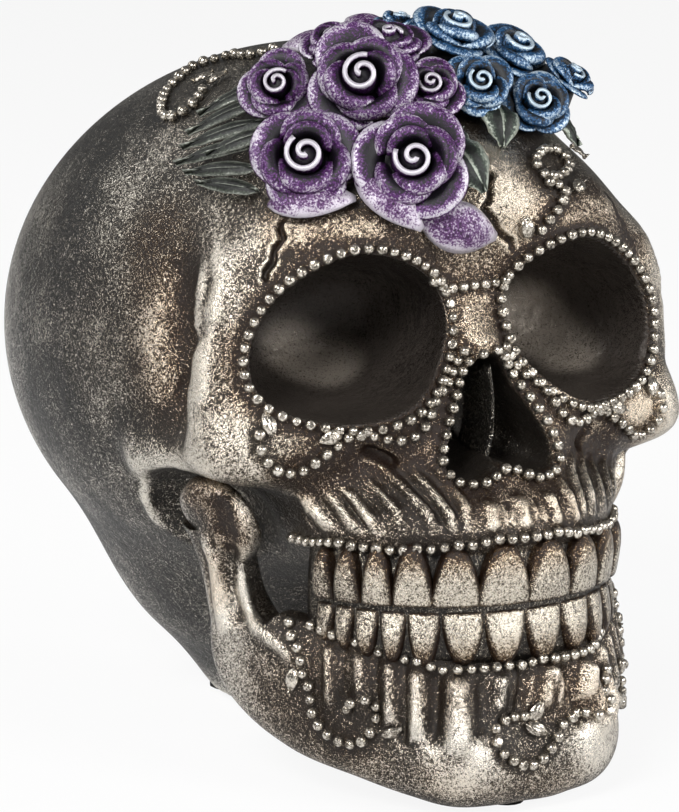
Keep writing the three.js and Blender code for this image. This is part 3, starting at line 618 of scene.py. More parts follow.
def petal(bm, frame_of, lip_layer, facing, span, foot, reach, roll, height, thick, silver):
    """A cupped petal whose lip rolls outwards: foot and reach are its radii at its base and lip, and its ends
    fall off to both sides of the way it faces."""

    def shape(a, b):
        fall = abs(a) ** 2.2
        angle = facing + a * span * (0.85 + 0.15 * b)
        wall, curl = min(1, b / 0.6), max(0, b - 0.6) / 0.4
        lip_reach = (reach - roll) * (1 - 0.2 * fall)
        rolled = roll * (1 - 0.5 * fall) * math.sin(curl * math.pi / 2)
        out = foot + (lip_reach - foot) * wall**1.3 + rolled
        rise = height * (1 - 0.55 * fall) * (math.sin(wall * math.pi / 2) - 0.28 * curl**2)
        spot = frame_of @ Vector((out * math.cos(angle), out * math.sin(angle), rise))
        lip, ends = (max(0, b - 0.42) / 0.58) ** 1.1, 0.25 * abs(a) ** 4 * b
        return spot, min(1, lip * (0.62 + 0.4 * silver) + ends)

    sheet(bm, 14, 9, shape, thick, lip_layer)


def spiral_bud(bm, frame_of, lip_layer, radius, height, turn, thick):
    """The rolled heart of a rose: a wall along a spiral that rises towards its middle."""

    def shape(a, b):
        share = (a + 1) / 2
        angle = turn - share * 2 * math.pi * BUD_TURNS
        out = radius * (0.06 + 0.94 * share**0.85) * (1 + 0.10 * (1 - b))
        rise = height * (0.3 + 0.7 * b) * (1.08 - 0.22 * share)
        return frame_of @ Vector((out * math.cos(angle), out * math.sin(angle), rise)), 0.3 + 0.85 * b**1.5

    sheet(bm, 34, 4, shape, thick, lip_layer)


def rose(at, normal, radius, stand, turn, rng):
    """A cast rose: a domed heart with a rolled bud, two crescent petals, and cupped petals that open out. It
    stands on a cone that runs into the skull. Its lengths are shares of its radius."""
    bm = bmesh.new()
    lip = bm.verts.layers.float.new("lip")
    frame_of = Matrix.Translation(Vector(at)) @ Vector(normal).to_track_quat("Z", "Y").to_matrix().to_4x4()
    lifted = frame_of @ Matrix.Translation((0, 0, stand))
    bmesh.ops.create_uvsphere(
        bm, u_segments=20, v_segments=12, radius=radius * BUD_RADIUS,
        matrix=lifted @ Matrix.Translation((0, 0, radius * 0.2)) @ Matrix.Diagonal((1, 1, 1.1, 1)),
    )
    tall = stand + radius * 0.35
    bmesh.ops.create_cone(
        bm, cap_ends=True, segments=24, radius1=radius * 0.8, radius2=radius * 0.42, depth=tall,
        matrix=frame_of @ Matrix.Translation((0, 0, tall / 2 - radius * 0.3)),
    )
    for v in bm.verts:
        v[lip] = 0
    spiral_bud(bm, lifted, lip, radius * BUD_RADIUS, radius * 0.7, turn, radius * 0.09)
    jitter = lambda spread: rng.uniform(-spread, spread)

    def add_petal(facing, span, foot, reach, roll, height, silver):
        sizes = (radius * share for share in (foot, reach, roll, height, PETAL_THICK))
        petal(bm, lifted, lip, facing, span, *sizes, silver)

    add_petal(turn + 0.3, 1.4, 0.4, 0.69, 0.13, 0.6, 1.3)
    add_petal(turn + 3.3 + jitter(0.2), 1.1, 0.4, 0.6, 0.08, 0.52, 1.0)
    for k in range(3):
        add_petal(turn + 1.4 + k * PETAL_TURN + jitter(0.25), 1.1 + jitter(0.1), 0.5,
                  0.85 + jitter(0.05), 0.12, 0.46 + jitter(0.09), 1.0 + jitter(0.2))
    for k in range(3):
        add_petal(turn + 0.4 + k * PETAL_TURN + jitter(0.25), 0.98 + jitter(0.12), 0.6,
                  1.1 + jitter(0.09), 0.17, 0.26 + jitter(0.1), 0.85 + jitter(0.3))
    bmesh.ops.recalc_face_normals(bm, faces=bm.faces)
    bm.normal_update()
    # Painted shade: walls that turn away from the rose's axis get a lower lip value, and so darker enamel.
    axis = Vector(normal).normalized()
    for v in bm.verts:
        v[lip] *= 0.3 + 0.7 * max(0, v.normal.dot(axis)) ** 0.6
    return bm


def leaf(bm, lip_layer, at, normal, way, length, width, arch, veins=True, thick=0.5):
    """A leaf on the skin, its tip along way, with a groove along its middle and ribs, or a smooth petal."""
    normal = unit(normal)
    way = unit(np.asarray(way) - np.dot(way, normal) * normal)
    side = np.cross(normal, way)

    def shape(a, b):
        half = width / 2 * math.sin(math.pi * min(0.98, b**0.85)) ** 0.8
        groove = 0.1 * width * (1 - min(1, abs(a) * 5)) if veins else 0
        ribs = 0.035 * width * math.cos((b * 7 + abs(a) * 1.6) * math.pi) * abs(a) if veins else 0
        rise = length * arch * math.sin(math.pi * b) + half * 0.35 * (1 - a * a) - groove + ribs
        spot = np.asarray(at) + way * (b - 0.5) * length + side * a * half + normal * (rise + 0.3)
        edge = max(abs(a) ** 2, 1 - min(1, abs(a) * 4)) if veins else 0.45 + 0.5 * max(abs(a) ** 3, b**4)
        return Vector(spot), edge

    sheet(bm, 10, 12, shape, thick, lip_layer)


# Finishes


def tone(name):
    """A scene-linear colour from its six hex digits."""
    parts = [int(name[i:i + 2], 16) / 255 for i in (0, 2, 4)]
    return (*[c / 12.92 if c <= 0.04045 else ((c + 0.055) / 1.055) ** 2.4 for c in parts], 1)


class Net:
    """Adds nodes to a node tree and links what is passed to them."""

    def __init__(self, tree):
        self.tree = tree

    def add(self, kind, inputs=(), **settings):
        node = self.tree.nodes.new(kind if kind.startswith("Node") else "ShaderNode" + kind)
        for name, value in settings.items():
            setattr(node, name, value)
        for key, value in dict(inputs).items():
            if isinstance(value, bpy.types.NodeSocket):
                self.tree.links.new(value, node.inputs[key])
            else:
                node.inputs[key].default_value = value
        return node

    def math(self, operation, a, b=0.0):
        return self.add("Math", {0: a, 1: b}, operation=operation).outputs[0]

    def mix(self, share, a, b, kind="MIX"):
        return self.add("Mix", {0: share, 6: a, 7: b}, data_type="RGBA", blend_type=kind).outputs[2]

    def step(self, value, low, high, start=0.0, end=1.0):
        limits = {"Value": value, "From Min": low, "From Max": high, "To Min": start, "To Max": end}
        return self.add("MapRange", limits, interpolation_type="SMOOTHSTEP").outputs[0]

    def noise(self, coords, scale, detail, roughness, swirl=0.0):
        grain = {"Scale": scale, "Detail": detail, "Roughness": roughness, "Distortion": swirl}
        return self.add("TexNoise", {"Vector": coords, **grain}).outputs[0]

    def spread(self, noise, strength):
        """Noise made to vary about zero."""
        return self.math("MULTIPLY", self.math("SUBTRACT", noise, 0.5), strength)

    def attribute(self, name):
        return self.add("Attribute", attribute_name=name).outputs["Fac"]


def shared_group(name, colors, values):
    """A shader group with named inputs that gives a colour, roughness, metallic share and height."""
    tree = bpy.data.node_groups.new(name, "ShaderNodeTree")
    for labels, kind in ((colors, "Color"), (values, "Float")):
        for label in labels:
            tree.interface.new_socket(label, in_out="INPUT", socket_type="NodeSocket" + kind)
    for label in ("Color", "Roughness", "Metallic", "Height"):
        kind = "Color" if label == "Color" else "Float"
        tree.interface.new_socket(label, in_out="OUTPUT", socket_type="NodeSocket" + kind)
    net = Net(tree)
    return tree, net, net.add("NodeGroupInput").outputs, net.add("NodeGroupOutput").inputs


# Colours as their hex digits. The bowls of the sockets and the nose are plain lacquer; the socket bowls also
# carry a painted highlight in a lighter colour.
GOLDEN_BROWN, STAINED_LACQUER = "bf9348", "3a270f"
BOWL_LACQUER, BOWL_HIGHLIGHT_COLOR = "433d38", "a69c90"


def antique_brushing():
    """Dark lacquer with metal paint dragged over its raised places, broken up by fine and broad noise."""
    tree, net, given, result = shared_group(
        "Antique brushing", ["Dark", "Metal", "Bright", "Stain Color"], ["Cover", "Stain", "Grain", "Break"]
    )
    link = tree.links.new
    coords = net.add("TexCoord").outputs["Object"]
    fine = net.noise(coords, given["Grain"], 5.0, 0.75, 1.3)
    specks = net.noise(coords, net.math("MULTIPLY", given["Grain"], 2.3), 3.0, 0.7)
    broad = net.noise(coords, net.math("MULTIPLY", given["Grain"], 0.02), 8.0, 0.72)
    uneven = net.math("ADD", net.spread(fine, 2.6), net.spread(broad, 0.85))
    uneven = net.math("ADD", uneven, net.spread(specks, 1.0))
    level = net.math("ADD", given["Cover"], net.math("MULTIPLY", uneven, given["Break"]))
    metal = net.step(level, 0.32, 0.48)
    bright = net.step(level, 0.62, 0.82)
    ground = net.mix(net.math("MULTIPLY", given["Stain"], 0.4), given["Dark"], tone(STAINED_LACQUER))
    color = net.mix(metal, ground, given["Metal"])
    color = net.mix(bright, color, given["Bright"])
    stained = net.step(net.math("ADD", given["Stain"], net.math("MULTIPLY", uneven, 0.45)), 0.1, 1.0)
    stained = net.math("MULTIPLY", stained, net.step(bright, 0, 1, 1.0, 0.3))
    color = net.mix(stained, color, net.mix(1.0, color, given["Stain Color"], "MULTIPLY"))
    link(color, result["Color"])
    link(net.step(metal, 0, 1, 0.42, 0.25), result["Roughness"])
    link(net.step(metal, 0, 1, 0.3, 0.95), result["Metallic"])
    height = net.math("ADD", net.math("MULTIPLY", fine, 0.7), net.math("MULTIPLY", specks, 0.5))
    link(height, result["Height"])
    return tree


def brushed_enamel():
    """Coloured enamel, black where a petal runs inwards and where a rose's walls carry painted shade, with
    silver dragged over its lips.
    """
    tree, net, given, result = shared_group(
        "Brushed enamel", ["Deep", "Paint", "Silver"], ["Lip", "Silvering"]
    )
    link = tree.links.new
    coords = net.add("TexCoord").outputs["Object"]
    broad = net.noise(coords, 260.0, 4.0, 0.65)
    fine = net.noise(coords, 2100.0, 5.0, 0.75)
    uneven = net.math("ADD", net.spread(fine, 2.0), net.spread(broad, 0.8))
    painted = net.step(net.math("ADD", given["Lip"], uneven), 0.2, 0.5)
    silvered = net.step(net.math("ADD", net.math("ADD", given["Lip"], given["Silvering"]), uneven), 0.5, 0.75)
    color = net.mix(painted, given["Deep"], given["Paint"])
    link(net.mix(silvered, color, given["Silver"]), result["Color"])
    link(net.step(silvered, 0, 1, 0.45, 0.42), result["Roughness"])
    link(net.step(silvered, 0, 1, 0.2, 0.55), result["Metallic"])
    link(fine, result["Height"])
    return tree


def material(name):
    made = bpy.data.materials.new(name)
    made.use_nodes = True
    made.node_tree.nodes.clear()
    return made, Net(made.node_tree)


def surface(net, color, roughness, metallic, height, bump):
    normal = net.add("Bump", {"Height": height, "Strength": 1.0, "Distance": bump}).outputs[0]
    inputs = {"Base Color": color, "Roughness": roughness, "Metallic": metallic, "Normal": normal}
    shader = net.add("BsdfPrincipled", inputs)
    net.add("OutputMaterial", {"Surface": shader.outputs[0]})


brushing, enamel = antique_brushing(), brushed_enamel()


def casting(name, dark, metal, bright, broken, bump, ripple=0.0, lift=0.0, grain=2100.0):
    """Brushed metal. The "bowl" attribute runs from 0 outside the bowls to a half in them, and on to 1 where
    they carry a painted highlight."""
    made, net = material(name)
    inputs = {
        "Dark": tone(dark), "Metal": tone(metal), "Bright": tone(bright), "Stain Color": tone(GOLDEN_BROWN),
        "Cover": net.math("ADD", net.attribute("metal"), lift), "Stain": net.attribute("stain"),
        "Grain": grain, "Break": broken,
    }
    out = net.add("Group", inputs, node_tree=brushing).outputs
    hollow = net.attribute("bowl")
    bowl = net.step(hollow, 0.0, 0.5)
    # Above a half the bowl lacquer is lightened towards the highlight colour: a painted highlight.
    lacquer = net.mix(net.step(hollow, 0.5, 1.0), tone(BOWL_LACQUER), tone(BOWL_HIGHLIGHT_COLOR))
    color = net.mix(bowl, out["Color"], lacquer)
    roughness = net.add("Mix", {0: bowl, 2: out["Roughness"], 3: 0.27}, data_type="FLOAT").outputs[0]
    dents = net.noise(net.add("TexCoord").outputs["Object"], 210.0, 3.0, 0.55)
    deep = net.math("ADD", net.math("MULTIPLY", bowl, 3.0), ripple)
    height = net.math("ADD", out["Height"], net.math("MULTIPLY", dents, deep))
    surface(net, color, roughness, out["Metallic"], height, bump)
    return made


def enamelled(name, deep, paint, silver, silvering=0.0):
    made, net = material(name)
    inputs = {"Deep": tone(deep), "Paint": tone(paint), "Silver": tone(silver), "Lip": net.attribute("lip"),
              "Silvering": silvering}
    out = net.add("Group", inputs, node_tree=enamel).outputs
    surface(net, out["Color"], out["Roughness"], out["Metallic"], out["Height"], 0.00008)
    return made


pewter = casting("antique pewter", "0b0907", "544c40", "ece6da", 2.0, 0.00016, ripple=3.0)
jaw_pewter = casting("antique pewter jaw", "0c0a08", "585044", "efe9de", 2.0, 0.00016, ripple=1.6)
tooth_silver = casting("champagne silver", "15100c", "867d6f", "e2dbcd", 2.3, 0.00014, ripple=5.0)
bead_silver = casting("bright silver", "15120f", "8a8276", "e8e1d5", 1.1, 0.00004, lift=0.66, grain=1500.0)
purple = enamelled("purple enamel", "0b070f", "551f66", "c9c4cc")
blue = enamelled("blue enamel", "070b10", "174f7d", "bccdd9")
petal_purple = enamelled("plum enamel", "120a15", "52225f", "c0b9c3")
leaf_green = enamelled("leaf enamel", "090c09", "2b372d", "a3a99d", -0.02)
stem_green = enamelled("stem enamel", "0d0f0c", "3a3f36", "90938a", -0.08)


def felt():
    made, net = material("black felt")
    coords = net.add("TexCoord").outputs["Object"]
    fibres = net.noise(coords, 2600.0, 5.0, 0.7)
    color = net.mix(net.step(fibres, 0.35, 0.7), tone("0d0d0d"), tone("2c2b2a"))
    surface(net, color, 0.95, 0.0, fibres, 0.0002)
    return made


rng = np.random.default_rng(7)

# Strokes that the face is carved with: a path as seen in the picture, half its width and its height in mm.
ROOTS = [
    ([(297, 490), (312, 508), (338, 533)], 2.9, 1.5), ([(317, 484), (337, 503), (362, 536)], 1.9, 1.2),
    ([(327, 478), (352, 497), (385, 539)], 1.9, 1.2), ([(350, 466), (385, 495), (412, 540)], 2.1, 1.4),
    ([(374, 462), (400, 484), (425, 510), (440, 542)], 1.9, 1.2),
    ([(405, 462), (425, 484), (450, 514), (456, 540)], 1.8, 1.2),
    ([(425, 452), (447, 480), (464, 505), (469, 538)], 1.7, 1.1), ([(488, 499), (494, 537)], 2.2, 1.3),
    ([(518, 494), (526, 534)], 2.2, 1.3), ([(545, 490), (555, 530)], 1.8, 1.2),
    ([(566, 488), (577, 526)], 1.7, 1.1),
]
CREASES = [
    ([(358, 451), (372, 453), (388, 460), (400, 468)], 1.9, -2.4),
    ([(208, 232), (205, 280), (200, 330), (190, 384), (172, 424)], 3.2, -1.5),
    ([(505, 497), (511, 536)], 1.3, -0.8), ([(533, 492), (541, 530)], 1.3, -0.8),
    ([(303, 512), (322, 536)], 1.0, -0.7), ([(317, 500), (348, 536)], 1.0, -0.8),
    ([(336, 489), (374, 538)], 1.0, -0.8), ([(352, 482), (398, 538)], 1.0, -0.8),
    ([(372, 478), (426, 536)], 1.0, -0.8), ([(398, 472), (436, 510), (449, 536)], 1.0, -0.8),
    ([(424, 470), (456, 512), (463, 536)], 0.9, -0.7),
]
RIMS = [
    ([(140, 462), (146, 497), (160, 527)], 2.0, 1.0),
    ([(216, 285), (202, 323), (200, 386), (180, 430)], 5.0, 0.9),
]
CRACKS = [
    [(286, 217), (279, 226), (283, 238), (274, 250), (273, 262), (265, 272), (266, 284)],
    [(478, 152), (486, 158), (484, 166), (493, 172), (489, 184), (491, 196), (484, 208), (495, 221),
     (499, 232), (511, 241), (514, 256)],
]
CRACK_CUT, CRACK_LIP = (0.9, -2.0), (1.9, 0.5)  # half width and height in mm
# Patches of the paint: a line as seen in the picture, half its breadth in mm and its strength. The metal is
# rubbed on thickest, with painted highlights on crests; the lacquer stays dark, with painted shade in
# recesses; a socket bowl has its painted highlight; or the metal is stained golden brown.
RUBBED_AND_PAINTED_HIGHLIGHTS = [
    ([(217, 262), (204, 300), (200, 350), (196, 396)], 5.5, 0.2),
    ([(226, 420), (243, 440), (262, 462)], 6, 0.3), ([(498, 160), (508, 190), (519, 222)], 9, 0.65),
    ([(250, 245), (262, 232), (285, 222)], 6, 0.4), ([(545, 240), (580, 232), (612, 236)], 5, 0.4),
    ([(640, 398), (656, 418)], 8, 0.6), ([(140, 462), (146, 497), (160, 527)], 2.4, 0.5),
    ([(560, 392), (600, 396)], 6, 0.3), ([(476, 322), (488, 340)], 5, 0.4),
    ([(210, 490), (250, 499), (290, 492)], 3, 0.3), ([(302, 496), (320, 514)], 3, 0.3),
    ([(424, 280), (433, 300)], 5, 0.3), ([(300, 236), (330, 228), (375, 231)], 4.5, 0.42),
    ([(585, 402), (615, 412), (655, 430)], 9, 0.75), ([(228, 290), (224, 320)], 5, 0.25),
]
# Dark lacquer, with painted shade where shade falls, as in the recess behind the ramus.
DARK_AND_PAINTED_SHADE = [
    ([(320, 475), (360, 520), (430, 520)], 9, 0.2), ([(60, 250), (40, 350)], 24, 0.17),
    ([(70, 430), (110, 500), (160, 580)], 24, 0.1), ([(120, 240), (125, 310), (115, 370)], 22, 0.03),
    ([(290, 262), (330, 268), (420, 258)], 10, 0.26),
    ([(292, 478), (330, 460), (370, 452), (410, 470)], 8, 0.3),
    ([(468, 468), (452, 445), (448, 400)], 5, 0.25),
    ([(206, 232), (205, 280), (197, 330), (186, 384), (166, 430)], 5, 0.2),
    ([(165, 505), (190, 545)], 12, 0.5), ([(330, 500), (400, 500), (470, 500)], 10, 0.12),
    ([(540, 440), (580, 430)], 8, 0.3), ([(330, 262), (400, 262)], 8, 0.24),
    ([(200, 160), (230, 130), (280, 120)], 14, 0.2), ([(272, 510), (284, 560), (300, 620)], 16, 0.8),
    ([(262, 500), (290, 505), (310, 520)], 5, 0.4),
]
# Painted highlights on the lower walls of the socket bowls: a line as seen in the picture, half breadth in mm
# and strength.
PAINTED_BOWL_HIGHLIGHTS = [([(292, 352), (306, 362), (328, 368)], 11, 1.0), ([(526, 312), (545, 335), (566, 356)], 11, 1.0)]
STAINED = [
    ([(290, 225), (380, 240), (430, 255), (446, 300), (440, 380)], 9, 0.8),
    ([(455, 250), (470, 300), (500, 320)], 10, 1.0), ([(515, 250), (580, 225), (640, 245)], 8, 0.4),
    ([(520, 400), (580, 420), (640, 415)], 11, 1.0), ([(480, 500), (560, 500)], 9, 0.5),
    ([(300, 478), (340, 456), (400, 448), (440, 420)], 9, 0.8),
    ([(160, 240), (172, 320), (168, 380)], 15, 0.6), ([(120, 250), (90, 340)], 22, 0.15),
    ([(480, 170), (530, 220)], 14, 0.3), ([(240, 400), (230, 350)], 8, 0.2),
]
BOWL_ROUNDNESS = 2.5  # 2 for a half egg, more for a squarer bowl


def sink(points, mouth, at, lean, roundness):
    """Points of the skin in front of an opening are drawn back into its bowl. Also gives which these are."""
    local = turned(points - at, -lean, "Z")
    u, v = local[:, 0] - mouth.middle[0], local[:, 2] - mouth.middle[1]
    edge = np.interp(np.arctan2(v, u), mouth.angle, mouth.reach)
    share = np.hypot(u, v) / edge
    inside = (share < 1) & (local[:, 1] < 30)
    turn = (1 - share[inside]) * np.pi / 2
    power = 2 / roundness
    wide = np.cos(turn) ** power / np.maximum(share[inside], 0.02)
    deep = np.sin(turn) ** power * mouth.depth
    flat = share[inside] ** 2
    local[inside, 0] = u[inside] * wide + mouth.middle[0]
    local[inside, 2] = v[inside] * wide + mouth.middle[1]
    local[inside, 1] = local[inside, 1] * flat + deep
    return turned(local, lean, "Z") + at, inside


RAY_LEAN = np.array([0, -0.42, -0.15])  # crowds the rays, and so the mesh, towards the face
FACE_BELOW, FACE_AHEAD = 0.62, -0.66  # the rays that point below and ahead of these get a finer mesh


def skull():
    """The skull's skin with its carving, bowls and paint masks."""
    bm = bmesh.new()
    bmesh.ops.create_icosphere(bm, subdivisions=7, radius=1)
    ways = unit(np.array([v.co for v in bm.verts]) + RAY_LEAN)
    front = (ways[:, 1] < FACE_AHEAD) & (ways[:, 2] < FACE_BELOW)
    edges = [e for e in bm.edges if front[e.verts[0].index] and front[e.verts[1].index]]
    bmesh.ops.subdivide_edges(bm, edges=edges, cuts=1, use_grid_fill=True)
    bmesh.ops.triangulate(bm, faces=bm.faces)
    mesh = mesh_from(bm, "skull")
    set_points(mesh, walk_in(unit(mesh_points(mesh) + RAY_LEAN)))
    tree = tree_of(mesh)
    work = Sculpt(mesh)
    work.carve(tree, ROOTS + CREASES + RIMS, 0.3)
    for spots in CRACKS:
        for width, height in (CRACK_LIP, CRACK_CUT):
            work.stroke(seen(tree, spots), width, height, 0.1, 1.0)
    work.settle()
    points = work.points
    metal = metal_masks(mesh)
    # Rubbed metal with painted highlights, and dark lacquer with painted shade.
    metal += patches(points, tree, RUBBED_AND_PAINTED_HIGHLIGHTS) - patches(points, tree, DARK_AND_PAINTED_SHADE)
    metal -= patches(points, tree, [(spots, 1.1, 0.9) for spots in CRACKS])
    stain = patches(points, tree, STAINED)
    hollow = np.zeros(len(points), bool)
    for side in (-1, 1):
        points, inside = sink(points * [side, 1, 1], socket_mouth, SOCKET_AT, SOCKET_LEAN, BOWL_ROUNDNESS)
        points = points * [side, 1, 1]
        hollow |= inside
    points, nose = sink(points, nose_mouth, NOSE_AT, 0, NOSE_ROUNDNESS)
    hollow |= nose
    set_points(mesh, points)
    # More metal on the face, and less behind it, on the top and low down away from the face, so the face is
    # lighter and the back, top and lower braincase darker.
    _, y, z = points.T
    metal += 0.1 * smoothstep(-10, -60, y) - 0.1 * smoothstep(95, 145, z) * smoothstep(-70, -40, y)
    metal -= 0.08 * smoothstep(-20, 20, y) + 0.1 * smoothstep(70, 30, z) * smoothstep(-50, -30, y)
    metal -= 0.06 * smoothstep(-35, -5, y)
    # The stain is stronger on the face and on the rims of the openings.
    rim = np.minimum.reduce([socket_bowl(points * [s, 1, 1]) for s in (-1, 1)] + [nose_hollow(points)])
    stain = stain + 0.45 * smoothstep(0, -60, y) + 0.5 * smoothstep(6, 1, rim)
    # A painted highlight in each socket's bowl; the nose's bowl gets none.
    painted_highlight = patches(points, tree_of(mesh), PAINTED_BOWL_HIGHLIGHTS)
    bowl = hollow * np.where(nose, 0.18, 0.5 + 0.5 * painted_highlight)
    add_masks(mesh, metal=np.where(hollow, 0.05, metal), stain=np.where(hollow, 0.1, stain), bowl=bowl)
    return mesh


# The jaw's flutes between the roots of the lower teeth, the ridges of its ramus, and its domes: spot, radius
# and height in mm
FLUTES = [
    ([(330, 640), (331, 712)], 2.0, 1.7), ([(361, 648), (361, 718)], 2.0, 1.7),
    ([(390, 655), (391, 730)], 2.1, 1.8), ([(417, 662), (417, 745)], 2.3, 1.8),
    ([(457, 672), (457, 715), (458, 760)], 3.2, 2.2), ([(502, 672), (501, 716)], 2.4, 1.6),
    ([(547, 662), (545, 712)], 2.5, 1.7), ([(584, 660), (582, 702)], 2.2, 1.5),
    ([(345, 640), (346, 716)], 1.7, -1.6), ([(376, 650), (377, 732)], 1.7, -1.7),
    ([(404, 656), (405, 748)], 1.7, -1.7), ([(436, 664), (435, 748)], 2.6, -2.3),
    ([(482, 670), (481, 748)], 2.8, -2.2), ([(524, 664), (522, 718)], 2.2, -1.7),
    ([(566, 660), (564, 706)], 2.0, -1.6),
    ([(257, 516), (246, 553), (242, 590), (257, 627), (283, 648), (300, 668)], 2.4, 1.3),
    ([(201, 527), (214, 560), (219, 600), (224, 640)], 2.4, 1.3),
    ([(228, 535), (229, 585), (238, 632)], 3.4, -1.6), ([(214, 492), (222, 512), (227, 545)], 4.4, -1.2),
]
DOMES = [((461, 758), 15, 3.2), ((602, 736), 14, 2.6), ((522, 722), 12, -1.6)]
# Paint patches of the jaw, as the skull's: rubbed metal with painted highlights, dark lacquer with painted
# shade in its hollows and along its lower edge, and golden-brown stain.
JAW_RUBBED_AND_PAINTED_HIGHLIGHTS = [
    ([(457, 672), (458, 712)], 3.4, 0.5), ([(455, 742), (466, 768)], 9, 0.45),
    ([(594, 735), (612, 748)], 8, 0.4), ([(217, 600), (224, 650), (240, 690)], 8, 0.35),
    ([(252, 505), (246, 553), (242, 590), (257, 627)], 3.5, 0.5), ([(418, 690), (420, 730)], 4, 0.3),
]
JAW_DARK_AND_PAINTED_SHADE = [
    ([(320, 665), (400, 690), (500, 700), (570, 685)], 20, 0.13),
    ([(283, 600), (330, 622), (400, 640), (470, 648), (540, 640)], 12, 0.2),
    ([(310, 650), (320, 700), (345, 735)], 9, 0.3), ([(345, 700), (380, 715)], 8, 0.3),
    ([(505, 700), (530, 735)], 9, 0.25), ([(300, 755), (360, 785), (430, 800)], 6, 0.25),
    ([(213, 488), (228, 535), (229, 585)], 3.5, 0.12), ([(330, 640), (400, 662), (520, 672)], 3, 0.3),
]
JAW_STAINED = [
    ([(205, 500), (225, 530)], 9, 1.0), ([(212, 560), (216, 600)], 4, 0.6),
    ([(330, 650), (450, 690)], 12, 0.3), ([(540, 690), (600, 700)], 9, 0.5),
    ([(280, 700), (350, 760)], 16, 0.3), ([(440, 780), (560, 790)], 10, 0.3),
]


def jaw():
    """The jaw with its carving and paint masks."""
    mesh = jaw_mesh()
    tree = tree_of(mesh)
    work = Sculpt(mesh)
    work.carve(tree, FLUTES, 0.22)
    for spot, radius, height in DOMES:
        work.dome(seen(tree, [spot])[0], radius, height)
    work.settle()
    points = work.points
    metal = metal_masks(mesh) + patches(points, tree, JAW_RUBBED_AND_PAINTED_HIGHLIGHTS) - patches(points, tree, JAW_DARK_AND_PAINTED_SHADE)
    # Less metal in the lowest 8 mm of the jaw, so it is darker on its underside.
    metal -= 0.2 * smoothstep(8, 0, points[:, 2])
    add_masks(mesh, metal=metal, stain=patches(points, tree, JAW_STAINED) + 0.3)
    return mesh


def plate(columns, rows, spot, thick, metal):
    """A thin curved wall from a grid: spot(a, b) gives its place, a and b from -1 to 1."""
    bm = bmesh.new()
    bmesh.ops.create_grid(bm, x_segments=columns, y_segments=rows, size=1)
    for v in bm.verts:
        v.co = spot(v.co.x, v.co.y)
    bmesh.ops.solidify(bm, geom=bm.faces[:], thickness=thick)
    bmesh.ops.recalc_face_normals(bm, faces=bm.faces)
    mesh = mesh_from(bm, "plate")
    add_masks(mesh, metal=np.full(len(mesh.vertices), metal))
    return mesh


def nose_wall(a, b):
    """The wall set back in the nose bends to one side."""
    rise = (b + 1) / 2
    bend = 1.6 * math.sin(rise * math.pi)
    deep = 4 + 12 * (a + 1) / 2 + 2 * (1 - rise)
    return Vector(NOSE_AT) + Vector((bend, deep, 1 + 21 * rise))


def gum_bed(a, b):
    """The dark band of the arch that both rows of teeth stand in."""
    at, out = arch_spot(a * 47, 3.0)
    return Vector(at + out * (0.8 - 1.0 * b**2)) + Vector((0, 0, BITE + 0.5 + b * 12))


def tooth_piece(name, widths, height, base, up, inset, seed, node):
    """A row of teeth, with metal on the faces and lacquer in the gaps and towards the gum."""
    mesh = mesh_from(tooth_row(widths, height, base, up, inset, seed), name)
    points, normals = mesh_points(mesh), mesh_normals(mesh)
    out = unit((points - [0, ARCH_BACK, 0]) * [1 / ARCH_HALF, 1 / ARCH_DEPTH, 0])
    facing = (normals * out).sum(1)
    gum_share = np.abs(points[:, 2] - base) / height
    worn = 1 - smoothstep(24, 34, np.abs(points[:, 0])) * 0.35
    metal = 0.86 * smoothstep(0.68, 1.0, facing) * worn - 0.5 * smoothstep(0.45, 0.95, gum_share)
    stain = 0.35 + 0.5 * smoothstep(0.3, 0.9, gum_share) + 0.4 * (1 - smoothstep(0.5, 0.9, facing))
    add_masks(mesh, metal=metal, stain=stain)
    piece(name, mesh, tooth_silver, [node])


skull_shape, jaw_shape = skull(), jaw()
skull_tree, jaw_tree = tree_of(skull_shape), tree_of(jaw_shape)
piece("nose_wall", plate(8, 20, nose_wall, 1.8, 0.25), pewter, ["cranium"])
piece("gum_bed", plate(80, 8, gum_bed, 1.2, 0.02), tooth_silver, ["upper_teeth"])
tooth_piece("upper_row", UPPER_WIDTHS, UPPER_HEIGHT, BITE, 1, 0, 1, "upper_teeth")
tooth_piece("lower_row", LOWER_WIDTHS, LOWER_HEIGHT, BITE - BITE_GAP, -1, LOWER_INSET, 2, "lower_teeth")

# Strings of beads, as seen in the picture. The far side's cheek and jaw scrolls mirror the near side's.
UPPER_GUM = [(295, 535), (309, 539), (329, 540), (345, 541), (359, 545), (371, 545), (390, 548), (403, 548),
    (416, 547), (427, 548), (444, 546), (457, 544), (472, 544), (484, 541), (498, 538), (509, 538)]
LOWER_GUM = [(311, 628), (322, 632), (331, 636), (348, 640), (360, 646), (379, 653), (402, 659), (427, 666),
    (441, 670), (457, 671), (484, 670), (510, 667)]
CHEEK = [(466, 351), (456, 363), (447, 382), (437, 396), (431, 410), (425, 427), (412, 438), (396, 440),
    (379, 436), (364, 434), (350, 436), (342, 442), (335, 447), (320, 458), (303, 469), (286, 471),
    (271, 465), (261, 451), (259, 436)]
JAW_SCROLL = [(267, 540), (267, 551), (274, 584), (280, 593), (290, 624), (293, 637), (300, 650),
    (302, 660), (304, 672), (310, 684), (312, 697), (314, 711), (319, 722), (326, 731), (335, 737),
    (346, 743), (358, 742), (369, 737), (375, 723), (376, 708), (367, 701), (356, 700), (349, 710)]
CHIN = [(605, 669), (621, 690), (623, 706), (607, 713), (589, 712), (575, 713), (563, 722), (555, 739),
    (545, 755), (532, 764), (518, 764), (502, 754), (495, 740), (496, 727), (508, 718), (523, 717)]
